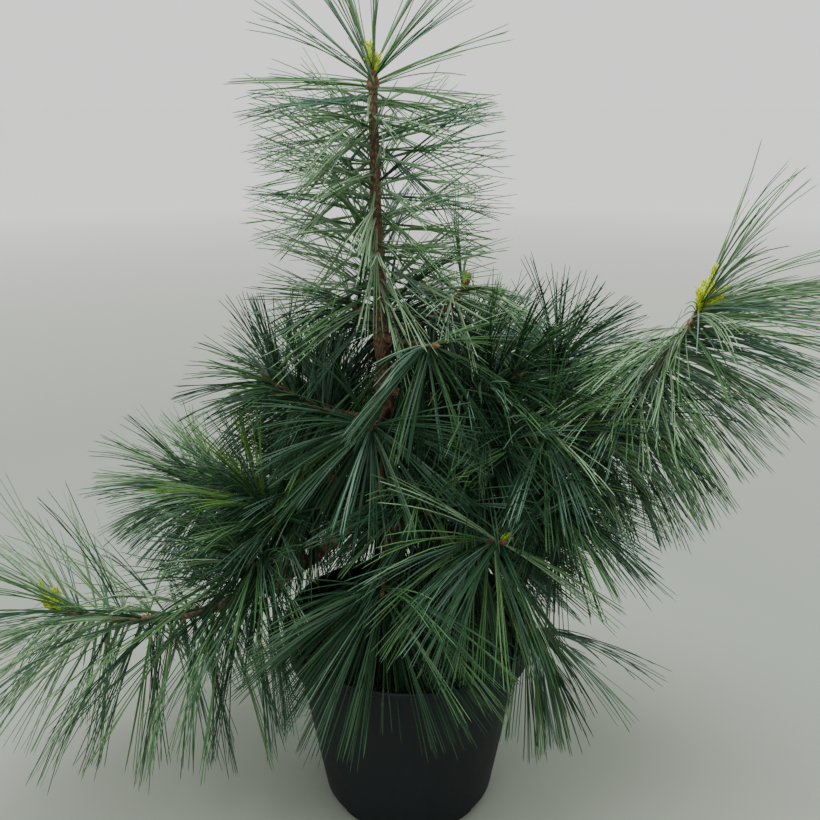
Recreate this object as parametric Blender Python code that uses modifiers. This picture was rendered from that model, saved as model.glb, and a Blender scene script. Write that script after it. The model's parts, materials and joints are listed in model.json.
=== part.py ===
"""A young dwarf white pine in a plain round nursery pot, as separate closed solids.

The origin is the middle of the pot's flat underside, +Z is up and -Y is the front.
Lengths are metres, angles are degrees, and a bearing is measured from +X (right) towards +Y (back).
"""

import math
import random
from dataclasses import dataclass

import bmesh
import bpy
import numpy as np
from mathutils import Vector

GAP = 0.0003
SEED = 11

POT_HEIGHT = 0.150
RIM_RADIUS = 0.095
COLLAR_HEIGHT = 0.022
COLLAR_FOOT_RADIUS = 0.0925
BODY_TOP_RADIUS = 0.0860
BODY_FOOT_RADIUS = 0.0668
BASE_RADIUS = 0.0625
BASE_STEP = 0.008
WALL = 0.0018
FLOOR_THICKNESS = 0.003
LIP = 0.0034
LIP_HEIGHT = 0.0032
LIP_STEP = 0.0010
RIM_ROUND = 0.0008
LEDGE = 0.0016
FOOT_BEAD = (0.0014, 0.0022)
MERGE = 0.0001
POT_TURN_STEPS = 44
DRAIN_SLOTS = 6
DRAIN_SIZE = (0.016, 0.014, 0.010)

MIX_LEVEL = 0.131
MIX_LUMP = 0.0022
MIX_EDGE = 0.001
MIX_RINGS = 5
MIX_TURN_STEPS = 30

TRUNK_FOOT = (-0.011, 0.004)
TRUNK_TOP = 0.531
TRUNK_LEAN = -0.011
TRUNK_PROFILE = ((0.0, 0.0118), (0.006, 0.0096), (0.018, 0.0078), (0.060, 0.0070), (0.150, 0.0058),
                 (0.235, 0.0050), (0.262, 0.0040), (0.400, 0.0028))
TRUNK_STEPS = 16
TRUNK_CROWDING = 1.35
TRUNK_STANDING_ROOM = 0.024

NEEDLE_RADIUS = 0.0015
NEEDLE_DROOP = 0.24
WEAKEST_NEEDLE = 0.55
STEEPEST_AXIS = 0.2
SPREAD_PLAY = 7
LENGTH_PLAY = (0.92, 1.0)
NEEDLE_STEPS = 8
NEEDLE_SAMPLES = 16
NEEDLE_TRIES = 16
RETRY_TURN = 37
CROWDED_ROOT = 0.12
NEEDLE_GAP = 0.0030
SHORTEST_NEEDLE = 0.45
SPACE_MARGIN = 0.0034
LIMB_MARGIN = 0.0026
FLOOR_CLEARANCE = 0.003
FIRST_NEEDLE = 0.0035
GOLDEN_TURN = 137.508
PATH_STEPS = 8
PATH_STEP = 0.014
SQUARE_END = 0.0012
TIP_SHARE = 0.5
BUD_RADIUS = 0.0030
BUD_LENGTH = 0.012
BUD_SHAPE = ((0.35, 1.0), (1.0, 0.25))
WELD = 0.00002

LEADER_FOOT = 0.396
LEADER_SIDES = 4
LEADER_NEEDLES = 20
LEADER_NEEDLE = 0.094
LEADER_SPREAD = (80, 72)
LEADER_ARC = 40
SPINE_RADIUS = 0.0016
SPINE_STEPS = 6
TOP_NEEDLES = 32
TOP_LENGTH = 0.016
TOP_RADII = (0.0024, 0.0020)
TOP_SPREAD = (90, 16)
TOP_LIFT = 0.1
UP = np.array((0.0, 0.0, 1.0))


@dataclass
class Shoot:
    """A side shoot: a bare bough, then the length that carries needles."""

    name: str
    parent: str
    at: float
    bearing: tuple
    rise: tuple
    bare: float
    clad: float
    needles: int
    needle: float
    radius: float
    hang: float
    sweep: float
    spread: tuple


SHOOTS = (
    Shoot("left_low", "trunk", 0.266, (203, 170), (-54, 12), 0.110, 0.175,
          72, 0.128, 0.0048, 0.70, 0.3, (86, 56)),
    Shoot("left_green", "left_low", 0.088, (186, 178), (52, 64), 0.026, 0.034,
          26, 0.088, 0.0028, 0.00, 0.0, (70, 14)),
    Shoot("left_tan", "left_low", 0.100, (205, 195), (26, 20), 0.016, 0.022,
          18, 0.090, 0.0026, 0.40, 0.2, (84, 40)),
    Shoot("left_back", "trunk", 0.250, (158, 154), (-22, 6), 0.066, 0.122,
          32, 0.092, 0.0036, 0.10, 0.2, (80, 36)),
    Shoot("left_middle", "trunk", 0.292, (182, 184), (-40, -20), 0.048, 0.034,
          24, 0.088, 0.0032, 0.20, 0.2, (76, 34)),
    Shoot("left_upper", "trunk", 0.312, (180, 176), (-4, 40), 0.030, 0.058,
          28, 0.078, 0.0030, 0.10, 0.1, (78, 40)),
    Shoot("right_big", "trunk", 0.240, (-6, 4), (9, 64), 0.142, 0.134,
          66, 0.112, 0.0052, 0.60, 0.9, (100, 44)),
    Shoot("right_short", "right_big", 0.128, (110, 60), (70, 86), 0.018, 0.050,
          24, 0.080, 0.0030, 0.10, 0.2, (78, 30)),
    Shoot("right_lower", "right_big", 0.112, (-70, -85), (-8, -30), 0.012, 0.036,
          24, 0.095, 0.0028, 0.50, 0.3, (84, 34)),
    Shoot("right_front", "right_big", 0.100, (-60, -95), (60, 34), 0.024, 0.042,
          24, 0.088, 0.0028, 0.40, 0.2, (84, 34)),
    Shoot("right_foot", "trunk", 0.160, (-20, -24), (2, 0), 0.064, 0.054,
          26, 0.096, 0.0032, 0.70, 0.1, (88, 54)),
    Shoot("front_right", "trunk", 0.226, (-50, -56), (8, 26), 0.078, 0.046,
          30, 0.104, 0.0036, 0.80, 0.0, (88, 58)),
    Shoot("front_middle", "trunk", 0.210, (-95, -92), (0, 10), 0.042, 0.038,
          28, 0.110, 0.0032, 0.70, 0.0, (90, 38)),
    Shoot("front_inner", "trunk", 0.296, (-34, -30), (-4, 20), 0.044, 0.050,
          24, 0.084, 0.0030, 0.40, 0.2, (84, 40)),
    Shoot("front_centre", "trunk", 0.276, (-66, -70), (-10, 0), 0.032, 0.040,
          26, 0.086, 0.0030, 0.50, 0.0, (88, 54)),
    Shoot("front_high", "trunk", 0.318, (-97, -95), (4, 16), 0.032, 0.042,
          26, 0.088, 0.0030, 0.80, 0.0, (88, 58)),
    Shoot("middle_right", "trunk", 0.332, (-22, -12), (-8, 30), 0.036, 0.060,
          26, 0.090, 0.0030, 0.30, 0.2, (84, 34)),
    Shoot("whorl_front", "trunk", 0.370, (-64, -60), (6, 12), 0.034, 0.038,
          28, 0.086, 0.0028, 0.65, 0.0, (88, 60)),
    Shoot("whorl_right", "trunk", 0.376, (-4, 6), (-6, 62), 0.024, 0.044,
          28, 0.078, 0.0028, 0.40, 0.4, (88, 62)),
    Shoot("whorl_left", "trunk", 0.381, (172, 168), (24, 30), 0.010, 0.016,
          14, 0.080, 0.0024, 0.20, 0.2, (80, 34)),
    Shoot("whorl_back", "trunk", 0.364, (84, 92), (-10, 24), 0.028, 0.044,
          26, 0.076, 0.0028, 0.40, 0.2, (84, 50)),
    Shoot("back_left", "trunk", 0.300, (128, 122), (-10, 18), 0.032, 0.070,
          28, 0.086, 0.0032, 0.30, 0.2, (84, 34)),
    Shoot("back_right", "trunk", 0.304, (52, 46), (-4, 24), 0.036, 0.082,
          26, 0.090, 0.0032, 0.30, 0.2, (80, 34)),
    Shoot("back_low", "trunk", 0.226, (98, 94), (-16, 20), 0.044, 0.096,
          28, 0.098, 0.0036, 0.30, 0.2, (84, 34)),
    Shoot("right_back", "trunk", 0.212, (34, 30), (-14, 20), 0.044, 0.092,
          26, 0.098, 0.0036, 0.30, 0.2, (84, 34)),
)


def direction(bearing, rise):
    """Unit vector for a bearing and a rise in degrees."""
    b = math.radians(bearing)
    r = math.radians(rise)
    return np.array((math.cos(b) * math.cos(r), math.sin(b) * math.cos(r), math.sin(r)))


def smooth(share):
    """0 to 1 with a level start and a level end."""
    share = min(max(share, 0.0), 1.0)
    return share * share * (3 - 2 * share)


def trunk_axis(height):
    """Point of the trunk's centre line: upright at the foot, leaning left in the middle, upright at the tip."""
    share = (height - MIX_LEVEL) / (TRUNK_TOP - MIX_LEVEL)
    return np.array((TRUNK_FOOT[0] + TRUNK_LEAN * smooth(share), TRUNK_FOOT[1] * (1 - smooth(share)), height))


def trunk_radius(height):
    """The trunk's radius, flared at the foot and slimmer above the top whorl."""
    heights = [h for h, _ in TRUNK_PROFILE]
    radii = [r for _, r in TRUNK_PROFILE]
    return float(np.interp(height - MIX_LEVEL, heights, radii))


class Limb:
    """A centre line with a radius at each point, and the test of how near something comes to it."""

    def __init__(self, name, points, radii):
        self.name = name
        self.points = np.array(points)
        self.radii = np.array(radii)

    def at(self, length):
        """Point and direction at a length along the line."""
        steps = np.linalg.norm(np.diff(self.points, axis=0), axis=1)
        along = np.concatenate(([0.0], np.cumsum(steps)))
        point = np.array([np.interp(length, along, self.points[:, k]) for k in range(3)])
        index = min(int(np.searchsorted(along, length, side="right")) - 1, len(steps) - 1)
        ahead = self.points[index + 1] - self.points[index]
        return point, ahead / np.linalg.norm(ahead)

    def distances(self, samples):
        """Distance of each sample from the limb's centre line, and from its skin."""
        a = self.points[:-1]
        b = self.points[1:]
        ab = b - a
        ap = samples[:, None, :] - a[None]
        t = np.clip((ap * ab[None]).sum(2) / (ab * ab).sum(1)[None], 0, 1)
        d = np.linalg.norm(ap - t[..., None] * ab[None], axis=2)
        skin = d - (self.radii[:-1] * (1 - t) + self.radii[1:] * t)
        return d.min(1), skin.min(1)


def trunk_limb():
    """The trunk from the flat cut at the potting mix to its tip."""
    low = MIX_LEVEL + GAP
    heights = low + (TRUNK_TOP - low) * np.linspace(0, 1, TRUNK_STEPS + 1) ** TRUNK_CROWDING
    return Limb("trunk", [trunk_axis(h) for h in heights], [trunk_radius(h) for h in heights])


def shoot_line(shoot, start):
    """The shoot's points from its parent's centre line: bearing and rise turn evenly along its length."""
    length = shoot.bare + shoot.clad
    step = length / (2 * PATH_STEPS)
    points = [np.array(start)]
    for k in range(2 * PATH_STEPS):
        share = (k + 0.5) / (2 * PATH_STEPS)
        bearing = shoot.bearing[0] + (shoot.bearing[1] - shoot.bearing[0]) * share
        rise = shoot.rise[0] + (shoot.rise[1] - shoot.rise[0]) * share
        points.append(points[-1] + step * direction(bearing, rise))
    return Limb(shoot.name, points, [shoot.radius] * len(points))


def stretch(line, start, end, radius_start, radius_end, name, meets):
    """A limb along part of a line, tapering evenly, with a short straight run where it meets the next limb."""
    count = max(2, round((end - start) / PATH_STEP))
    lengths = np.linspace(start, end, count + 1)
    if meets == "end":
        lengths = np.insert(lengths, count, end - SQUARE_END)
    elif meets == "start":
        lengths = np.insert(lengths, 1, start + SQUARE_END)
    points = [line.at(s)[0] for s in lengths]
    return Limb(name, points, np.interp(lengths, (start, end), (radius_start, radius_end)))


def with_bud(limb):
    """The limb with a pointed bud on its end."""
    point = limb.points[-1]
    ahead = limb.points[-1] - limb.points[-2]
    ahead = ahead / np.linalg.norm(ahead)
    points = list(limb.points)
    radii = list(limb.radii)
    for along, swell in BUD_SHAPE:
        points.append(point + ahead * BUD_LENGTH * along)
        radii.append(BUD_RADIUS * swell)
    return Limb(limb.name, points, radii)


def shoot_pull(shoot, line):
    """What bends a shoot's needles at a share of its length: they hang at its foot and sweep outwards at its tip."""
    away = line.points[-1] - trunk_axis(shoot.at)
    away[2] = 0.0
    away = away / np.linalg.norm(away)
    return lambda share: away * (shoot.sweep * share ** 3) - UP * (shoot.hang * (1 - share ** 3))


def needle_tip(root, axis, roll, spread, pull, length):
    """Where a needle ends that leaves the stem at an angle and is drawn down more and more by its weight.

    A needle whose pull all but cancels its first direction doesn't grow.
    """
    side = np.cross(axis, UP)
    if np.linalg.norm(side) < STEEPEST_AXIS:
        side = np.cross(axis, (0.0, 1.0, 0.0))
    side = side / np.linalg.norm(side)
    over = np.cross(side, axis)
    out = side * math.cos(math.radians(roll)) + over * math.sin(math.radians(roll))
    first = axis * math.cos(math.radians(spread)) + out * math.sin(math.radians(spread)) + pull
    if np.linalg.norm(first) < WEAKEST_NEEDLE:
        return None
    point = np.array(root)
    for k in range(NEEDLE_STEPS):
        ahead = first - UP * NEEDLE_DROOP * (k + 0.5) / NEEDLE_STEPS
        point = point + ahead / np.linalg.norm(ahead) * length / NEEDLE_STEPS
    return point


def mix_height(x, y):
    """Height of the potting mix: lumpy, and level where the trunk stands."""
    lumps = math.sin(95 * x + 1.3) * math.cos(110 * y) + 0.6 * math.sin(190 * x - 160 * y)
    away = math.hypot(x - TRUNK_FOOT[0], y - TRUNK_FOOT[1])
    return MIX_LEVEL + MIX_LUMP * lumps * smooth((away - TRUNK_STANDING_ROOM) / TRUNK_STANDING_ROOM)


def pot_profile():
    """(radius, height) from the middle of the inside floor, up the inside, over the rim and down to the underside."""
    collar_foot = POT_HEIGHT - COLLAR_HEIGHT
    inner_foot = BODY_FOOT_RADIUS - WALL
    return (
        (0.0, FLOOR_THICKNESS),
        (BASE_RADIUS - WALL, FLOOR_THICKNESS),
        (inner_foot, BASE_STEP),
        (BODY_TOP_RADIUS - WALL, collar_foot),
        (COLLAR_FOOT_RADIUS - WALL, collar_foot + WALL),
        (RIM_RADIUS - LIP, POT_HEIGHT - LIP_HEIGHT),
        (RIM_RADIUS - LIP + RIM_ROUND, POT_HEIGHT),
        (RIM_RADIUS - RIM_ROUND, POT_HEIGHT),
        (RIM_RADIUS, POT_HEIGHT - RIM_ROUND),
        (RIM_RADIUS, POT_HEIGHT - LIP_HEIGHT),
        (RIM_RADIUS - LIP_STEP, POT_HEIGHT - LIP_HEIGHT - LIP_STEP),
        (COLLAR_FOOT_RADIUS, collar_foot),
        (BODY_TOP_RADIUS, collar_foot - LEDGE),
        (BODY_FOOT_RADIUS, BASE_STEP),
        (BASE_RADIUS + FOOT_BEAD[0], BASE_STEP - FOOT_BEAD[1]),
        (BASE_RADIUS, 0.0),
        (0.0, 0.0),
    )


def inner_radius(height):
    """The pot's inside radius at a height."""
    profile = pot_profile()[1:7]
    return float(np.interp(height, [h for _, h in profile], [r for r, _ in profile]))


def outer_radius(height):
    """The pot's outside radius at a height."""
    profile = pot_profile()[15:6:-1]
    return float(np.interp(height, [h for _, h in profile], [r for r, _ in profile]))


def clear_of_pot(samples):
    """Whether each sample is clear of the floor, the pot's wall and the potting mix."""
    free = []
    for x, y, z in samples:
        r = math.hypot(x, y)
        if z < FLOOR_CLEARANCE:
            free.append(False)
        elif z > POT_HEIGHT + LIMB_MARGIN:
            free.append(True)
        elif r > outer_radius(z) + LIMB_MARGIN:
            free.append(True)
        else:
            free.append(z > mix_height(x, y) + LIMB_MARGIN and r < inner_radius(z) - LIMB_MARGIN)
    return np.array(free)


def free_share(samples, own, stems, limbs):
    """How much of a needle, from its root, stays in its own mass's space and clear of the limbs."""
    allowed = clear_of_pot(samples)
    home, _ = own.distances(samples)
    for stem in stems:
        if stem is not own:
            away, _ = stem.distances(samples)
            allowed &= home + SPACE_MARGIN < away
    for limb in limbs:
        _, skin = limb.distances(samples)
        allowed &= skin > LIMB_MARGIN
    if allowed.all():
        return 1.0
    return float(np.argmin(allowed)) / len(samples)


def nearest_gap(start, end, starts, ends):
    """Smallest distance between one straight line and each of several others."""
    u = end - start
    v = ends - starts
    w = start - starts
    a = u @ u
    b = v @ u
    c = (v * v).sum(1)
    d = w @ u
    e = (v * w).sum(1)
    scale = np.maximum(a * c - b * b, 1e-18)
    s = np.clip((b * e - c * d) / scale, 0, 1)
    t = np.clip((b * s + e) / c, 0, 1)
    s = np.clip((b * t - d) / a, 0, 1)
    gaps = (start + s[:, None] * u) - (starts + t[:, None] * v)
    return float(np.linalg.norm(gaps, axis=1).min())


def needle_set(own, count, length, spreads, pull, stems, limbs, dice, arc=None):
    """Straight needles in a golden-angle spiral along a stem, each kept where it is free and meets no other."""
    found = []
    total = float(np.linalg.norm(np.diff(own.points, axis=0), axis=1).sum())
    for k in range(count):
        share = (k + 0.5) / count
        root, axis = own.at(FIRST_NEEDLE + (total - FIRST_NEEDLE) * share)
        spread = spreads[0] + (spreads[1] - spreads[0]) * share ** 2
        size = length * dice.uniform(*LENGTH_PLAY)
        best = (SHORTEST_NEEDLE, None)
        for attempt in range(NEEDLE_TRIES):
            roll = k * GOLDEN_TURN + attempt * RETRY_TURN
            if arc:
                roll = arc[0] + (arc[1] - arc[0]) * ((roll / 360) % 1)
            tip = needle_tip(root, axis, roll, spread + dice.uniform(-SPREAD_PLAY, SPREAD_PLAY), pull(share), size)
            if tip is None:
                continue
            samples = root + (tip - root) * np.linspace(0, 1, NEEDLE_SAMPLES + 1)[1:, None]
            free = free_share(samples, own, stems, limbs)
            if free <= best[0]:
                continue
            end = root + (tip - root) * free
            start = root + (end - root) * CROWDED_ROOT
            if found:
                starts = np.array([a + (b - a) * CROWDED_ROOT for a, b in found])
                ends = np.array([b for _, b in found])
                if nearest_gap(start, end, starts, ends) < NEEDLE_GAP:
                    continue
            best = (free, end)
            if free == 1.0:
                break
        if best[1] is not None:
            found.append((root, best[1]))
    return found


def material(name, colour, roughness):
    """A Principled material."""
    made = bpy.data.materials.new(name)
    made.use_nodes = True
    shader = made.node_tree.nodes["Principled BSDF"]
    shader.inputs["Base Color"].default_value = (*colour, 1)
    shader.inputs["Roughness"].default_value = roughness
    shader.inputs["Metallic"].default_value = 0.0
    made.diffuse_color = (*colour, 1)
    return made


def face_outwards(work):
    """Turns a closed mesh's faces so that they all point out."""
    bmesh.ops.recalc_face_normals(work, faces=work.faces)
    if work.calc_volume(signed=True) < 0:
        bmesh.ops.reverse_faces(work, faces=work.faces)


def link(name, mesh, collection, finish=None):
    """A new object in a collection."""
    made = bpy.data.objects.new(name, mesh)
    collection.objects.link(made)
    if finish:
        mesh.materials.clear()
        mesh.materials.append(finish)
    return made


def tube(limb, resolution, collection, finish, fatter=0.0):
    """A tapering tube along a limb: a poly curve with a bevel, made a mesh with welded caps."""
    curve = bpy.data.curves.new(limb.name, "CURVE")
    curve.dimensions = "3D"
    curve.bevel_depth = 1.0
    curve.bevel_resolution = resolution
    curve.use_fill_caps = True
    spline = curve.splines.new("POLY")
    spline.points.add(len(limb.points) - 1)
    for target, point, radius in zip(spline.points, limb.points, limb.radii):
        target.co = (*point, 1)
        target.radius = radius + fatter
    draft = link(limb.name, curve, collection)
    evaluated = draft.evaluated_get(bpy.context.evaluated_depsgraph_get())
    mesh = bpy.data.meshes.new_from_object(evaluated)
    place = draft.matrix_world.copy()
    bpy.data.objects.remove(draft)
    bpy.data.curves.remove(curve)
    work = bmesh.new()
    work.from_mesh(mesh)
    bmesh.ops.remove_doubles(work, verts=work.verts, dist=WELD)
    face_outwards(work)
    work.to_mesh(mesh)
    work.free()
    made = link(limb.name, mesh, collection, finish)
    made.matrix_world = place
    return made


def apply_boolean(target, operation, solver, other=None, collection=None):
    """Joins or cuts a target with an object or with a collection's objects, and applies it."""
    modifier = target.modifiers.new(operation.lower(), "BOOLEAN")
    modifier.operation = operation
    modifier.solver = solver
    if collection:
        modifier.operand_type = "COLLECTION"
        modifier.collection = collection
    else:
        modifier.object = other
    evaluated = target.evaluated_get(bpy.context.evaluated_depsgraph_get())
    mesh = bpy.data.meshes.new_from_object(evaluated)
    target.modifiers.clear()
    target.data = mesh


def needle_solid(root, tip, collection):
    """A three-sided needle: a cone primitive from a point inside the stem to the needle's tip."""
    mesh = bpy.data.meshes.new("needle")
    ahead = Vector(tip) - Vector(root)
    work = bmesh.new()
    bmesh.ops.create_cone(work, segments=3, radius1=NEEDLE_RADIUS, radius2=0.0, depth=ahead.length, cap_ends=True)
    bmesh.ops.translate(work, verts=work.verts, vec=(0.0, 0.0, ahead.length / 2))
    work.to_mesh(mesh)
    work.free()
    needle = link("needle", mesh, collection)
    needle.location = root
    needle.rotation_mode = "QUATERNION"
    needle.rotation_quaternion = ahead.to_track_quat("Z", "Y")
    return needle


def mass(stem, needles, finish, collection):
    """One mass of foliage: the stem with its needles joined by one union."""
    body = tube(stem, 0, collection, finish)
    spray = bpy.data.collections.new(stem.name + "_needles")
    bpy.context.scene.collection.children.link(spray)
    for root, tip in needles:
        needle_solid(root, tip, spray)
    apply_boolean(body, "UNION", "MANIFOLD", collection=spray)
    for item in list(spray.objects):
        bpy.data.objects.remove(item)
    bpy.data.collections.remove(spray)
    body.data.materials.clear()
    body.data.materials.append(finish)
    return body


def build_pot(collection, cutters, finish):
    """The pot: a turned shell with a collar and lip, and drain slots round the foot."""
    mesh = bpy.data.meshes.new("pot")
    profile = pot_profile()
    mesh.from_pydata([(r, 0, z) for r, z in profile], [(k, k + 1) for k in range(len(profile) - 1)], [])
    pot = link("pot", mesh, collection, finish)
    screw = pot.modifiers.new("turn", "SCREW")
    screw.axis = "Z"
    screw.steps = POT_TURN_STEPS
    screw.render_steps = POT_TURN_STEPS
    screw.use_merge_vertices = True
    screw.merge_threshold = MERGE
    block = bpy.data.meshes.new("drain_slot")
    work = bmesh.new()
    bmesh.ops.create_cube(work, size=1.0)
    for vertex in work.verts:
        vertex.co = Vector(a * b for a, b in zip(vertex.co, DRAIN_SIZE))
    work.to_mesh(block)
    work.free()
    slots = bpy.data.collections.new("drain_slots")
    cutters.children.link(slots)
    for k in range(DRAIN_SLOTS):
        angle = 2 * math.pi * (k + 0.5) / DRAIN_SLOTS
        slot = link(f"drain_slot_{k + 1}", block, slots)
        slot.location = (BASE_RADIUS * math.cos(angle), BASE_RADIUS * math.sin(angle), 0)
        slot.rotation_euler = (0, 0, angle)
        slot.hide_render = True
        slot.display_type = "WIRE"
    cut = pot.modifiers.new("drain", "BOOLEAN")
    cut.operation = "DIFFERENCE"
    cut.solver = "EXACT"
    cut.operand_type = "COLLECTION"
    cut.collection = slots
    return pot


def build_mix(collection, finish):
    """The potting mix that fills the pot, with a lumpy top."""
    rim = inner_radius(MIX_LEVEL) - GAP
    profile = [(rim * k / MIX_RINGS, MIX_LEVEL) for k in range(MIX_RINGS + 1)]
    for radius, height in pot_profile()[4:0:-1]:
        profile.append((radius - GAP, height + (GAP if height == FLOOR_THICKNESS else 0.0)))
    profile.append((0.0, FLOOR_THICKNESS + GAP))
    mesh = bpy.data.meshes.new("potting_mix")
    mesh.from_pydata([(r, 0, z) for r, z in profile], [(k, k + 1) for k in range(len(profile) - 1)], [])
    mix = link("potting_mix", mesh, collection, finish)
    screw = mix.modifiers.new("turn", "SCREW")
    screw.axis = "Z"
    screw.steps = MIX_TURN_STEPS
    screw.render_steps = MIX_TURN_STEPS
    screw.use_merge_vertices = True
    screw.merge_threshold = MERGE
    evaluated = mix.evaluated_get(bpy.context.evaluated_depsgraph_get())
    mix.data = bpy.data.meshes.new_from_object(evaluated)
    mix.modifiers.clear()
    for vertex in mix.data.vertices:
        x, y, z = vertex.co
        if z > MIX_LEVEL - MERGE and math.hypot(x, y) < rim - MIX_EDGE:
            vertex.co.z = mix_height(x, y)
    return mix


def lay_out():
    """The plan of the plant: each shoot's line, the boughs, the foliage stems, and the limb each bough stands on."""
    lines = {}
    boughs = {"trunk": trunk_limb()}
    stems = {}
    feet = {}
    for shoot in SHOOTS:
        if shoot.parent == "trunk":
            start = trunk_axis(shoot.at)
        else:
            start = lines[shoot.parent].at(shoot.at)[0]
        line = shoot_line(shoot, start)
        total = shoot.bare + shoot.clad
        joint = shoot.radius * (1 - (1 - TIP_SHARE) * shoot.bare / total)
        lines[shoot.name] = line
        feet[shoot.name] = shoot.parent
        boughs[shoot.name] = stretch(line, 0.0, shoot.bare, shoot.radius, joint, "bough_" + shoot.name, "end")
        stems[shoot.name] = with_bud(
            stretch(line, shoot.bare + GAP, total, joint, shoot.radius * TIP_SHARE, "foliage_" + shoot.name, "start"))
    heights = np.linspace(LEADER_FOOT, TRUNK_TOP - SPINE_RADIUS, SPINE_STEPS + 1)
    for k in range(LEADER_SIDES):
        out = direction(360 / LEADER_SIDES * k, 0)
        points = [trunk_axis(h) + out * (trunk_radius(h) + 2 * GAP + SPINE_RADIUS) for h in heights]
        stems[f"leader_{k + 1}"] = Limb(f"foliage_leader_{k + 1}", points, [SPINE_RADIUS] * len(points))
    tip = trunk_axis(TRUNK_TOP)
    top = Limb("foliage_leader_top", [tip + UP * (GAP + TOP_LENGTH * s) for s in (0, 0.5, 1)],
               [trunk_radius(TRUNK_TOP), *TOP_RADII])
    stems["leader_top"] = with_bud(top)
    return lines, boughs, stems, feet


def build_wood(boughs, feet, parts, cutters, bark):
    """The trunk whole, and each bough cut clear of the limb it stands on."""
    fat = {}
    for name in sorted(set(feet.values())):
        fat[name] = tube(boughs[name], 4 if name == "trunk" else 1, cutters, None, fatter=GAP)
        fat[name].name = "cutter_" + name
        fat[name].hide_render = True
        fat[name].display_type = "WIRE"
    for name, limb in boughs.items():
        bough = tube(limb, 4 if name == "trunk" else 1, parts, bark)
        if name != "trunk":
            apply_boolean(bough, "DIFFERENCE", "EXACT", other=fat[feet[name]])
            bough.data.materials.clear()
            bough.data.materials.append(bark)


def build_foliage(lines, boughs, stems, parts, green):
    """Every mass of needles: those of the side shoots, the four round the leader and the tuft at its top."""
    dice = random.Random(SEED)
    everything = list(stems.values())
    for shoot in SHOOTS:
        own = stems[shoot.name]
        others = [limb for name, limb in boughs.items() if name != shoot.name]
        pull = shoot_pull(shoot, lines[shoot.name])
        mass(own, needle_set(own, shoot.needles, shoot.needle, shoot.spread, pull, everything, others, dice),
             green, parts)
    side_boughs = [limb for name, limb in boughs.items() if name != "trunk"]
    for k in range(LEADER_SIDES):
        own = stems[f"leader_{k + 1}"]
        turn = 180 - 360 / LEADER_SIDES * k
        mass(own, needle_set(own, LEADER_NEEDLES, LEADER_NEEDLE, LEADER_SPREAD, lambda share: 0 * UP, everything,
                             side_boughs, dice, arc=(turn - LEADER_ARC, turn + LEADER_ARC)), green, parts)
    top = stems["leader_top"]
    mass(top, needle_set(top, TOP_NEEDLES, LEADER_NEEDLE, TOP_SPREAD, lambda share: TOP_LIFT * UP, everything,
                         list(boughs.values()), dice), green, parts)


def main():
    """Builds every sub-part."""
    for item in list(bpy.data.objects):
        bpy.data.objects.remove(item)
    parts = bpy.data.collections.new("potted_dwarf_pine")
    cutters = bpy.data.collections.new("cutters")
    for collection in (parts, cutters):
        bpy.context.scene.collection.children.link(collection)
    plastic = material("black_plastic", (0.016, 0.018, 0.022), 0.55)
    peat = material("potting_mix", (0.050, 0.022, 0.014), 0.95)
    bark = material("bark", (0.150, 0.075, 0.038), 0.85)
    green = material("needles", (0.045, 0.120, 0.070), 0.50)

    build_pot(parts, cutters, plastic)
    build_mix(parts, peat)
    lines, boughs, stems, feet = lay_out()
    build_wood(boughs, feet, parts, cutters, bark)
    build_foliage(lines, boughs, stems, parts, green)


main()
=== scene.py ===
"""The looks of a young dwarf white pine in a nursery pot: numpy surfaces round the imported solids."""

import json
import logging
import math
from collections.abc import Callable
from dataclasses import dataclass, field, fields
from enum import Enum

import bpy
import numpy as np
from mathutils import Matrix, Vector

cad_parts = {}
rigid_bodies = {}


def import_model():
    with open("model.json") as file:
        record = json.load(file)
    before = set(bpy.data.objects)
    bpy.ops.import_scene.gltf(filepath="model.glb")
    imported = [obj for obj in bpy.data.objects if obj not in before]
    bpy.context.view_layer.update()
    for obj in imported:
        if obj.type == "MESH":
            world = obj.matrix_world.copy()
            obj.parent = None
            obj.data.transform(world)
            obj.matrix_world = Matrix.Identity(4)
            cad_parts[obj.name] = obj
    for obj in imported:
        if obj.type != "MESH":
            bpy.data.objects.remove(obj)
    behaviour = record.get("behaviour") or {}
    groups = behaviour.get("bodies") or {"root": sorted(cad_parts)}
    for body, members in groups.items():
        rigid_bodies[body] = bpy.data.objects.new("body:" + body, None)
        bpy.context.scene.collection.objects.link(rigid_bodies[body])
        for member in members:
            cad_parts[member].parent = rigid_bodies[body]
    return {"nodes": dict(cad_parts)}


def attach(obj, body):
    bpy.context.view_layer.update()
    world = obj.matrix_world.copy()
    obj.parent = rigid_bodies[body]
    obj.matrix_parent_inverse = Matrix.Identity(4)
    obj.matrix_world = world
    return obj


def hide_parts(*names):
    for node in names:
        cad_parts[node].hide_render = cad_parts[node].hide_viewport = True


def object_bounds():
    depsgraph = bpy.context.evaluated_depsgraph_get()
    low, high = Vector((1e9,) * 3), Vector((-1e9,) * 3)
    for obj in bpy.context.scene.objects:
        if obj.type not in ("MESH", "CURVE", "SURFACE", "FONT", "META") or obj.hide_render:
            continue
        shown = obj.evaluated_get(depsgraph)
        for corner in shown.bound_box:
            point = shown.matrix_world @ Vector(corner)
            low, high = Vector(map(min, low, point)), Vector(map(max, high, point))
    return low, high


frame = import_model()
CAD_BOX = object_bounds()

LOG = logging.getLogger("pine")
Array = np.ndarray
Dice = np.random.Generator
Material = bpy.types.Material
Pair = tuple[float, float]
Triple = tuple[float, float, float]

TURN = 2 * math.pi
GOLDEN_TURN = math.radians(137.508)
DOWN = np.array((0.0, 0.0, -1.0))
SEED = 20
LEVEL = 0.131
FOOT = (-0.011, 0.004)
ON_THE_FLOOR = 0.0012


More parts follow.
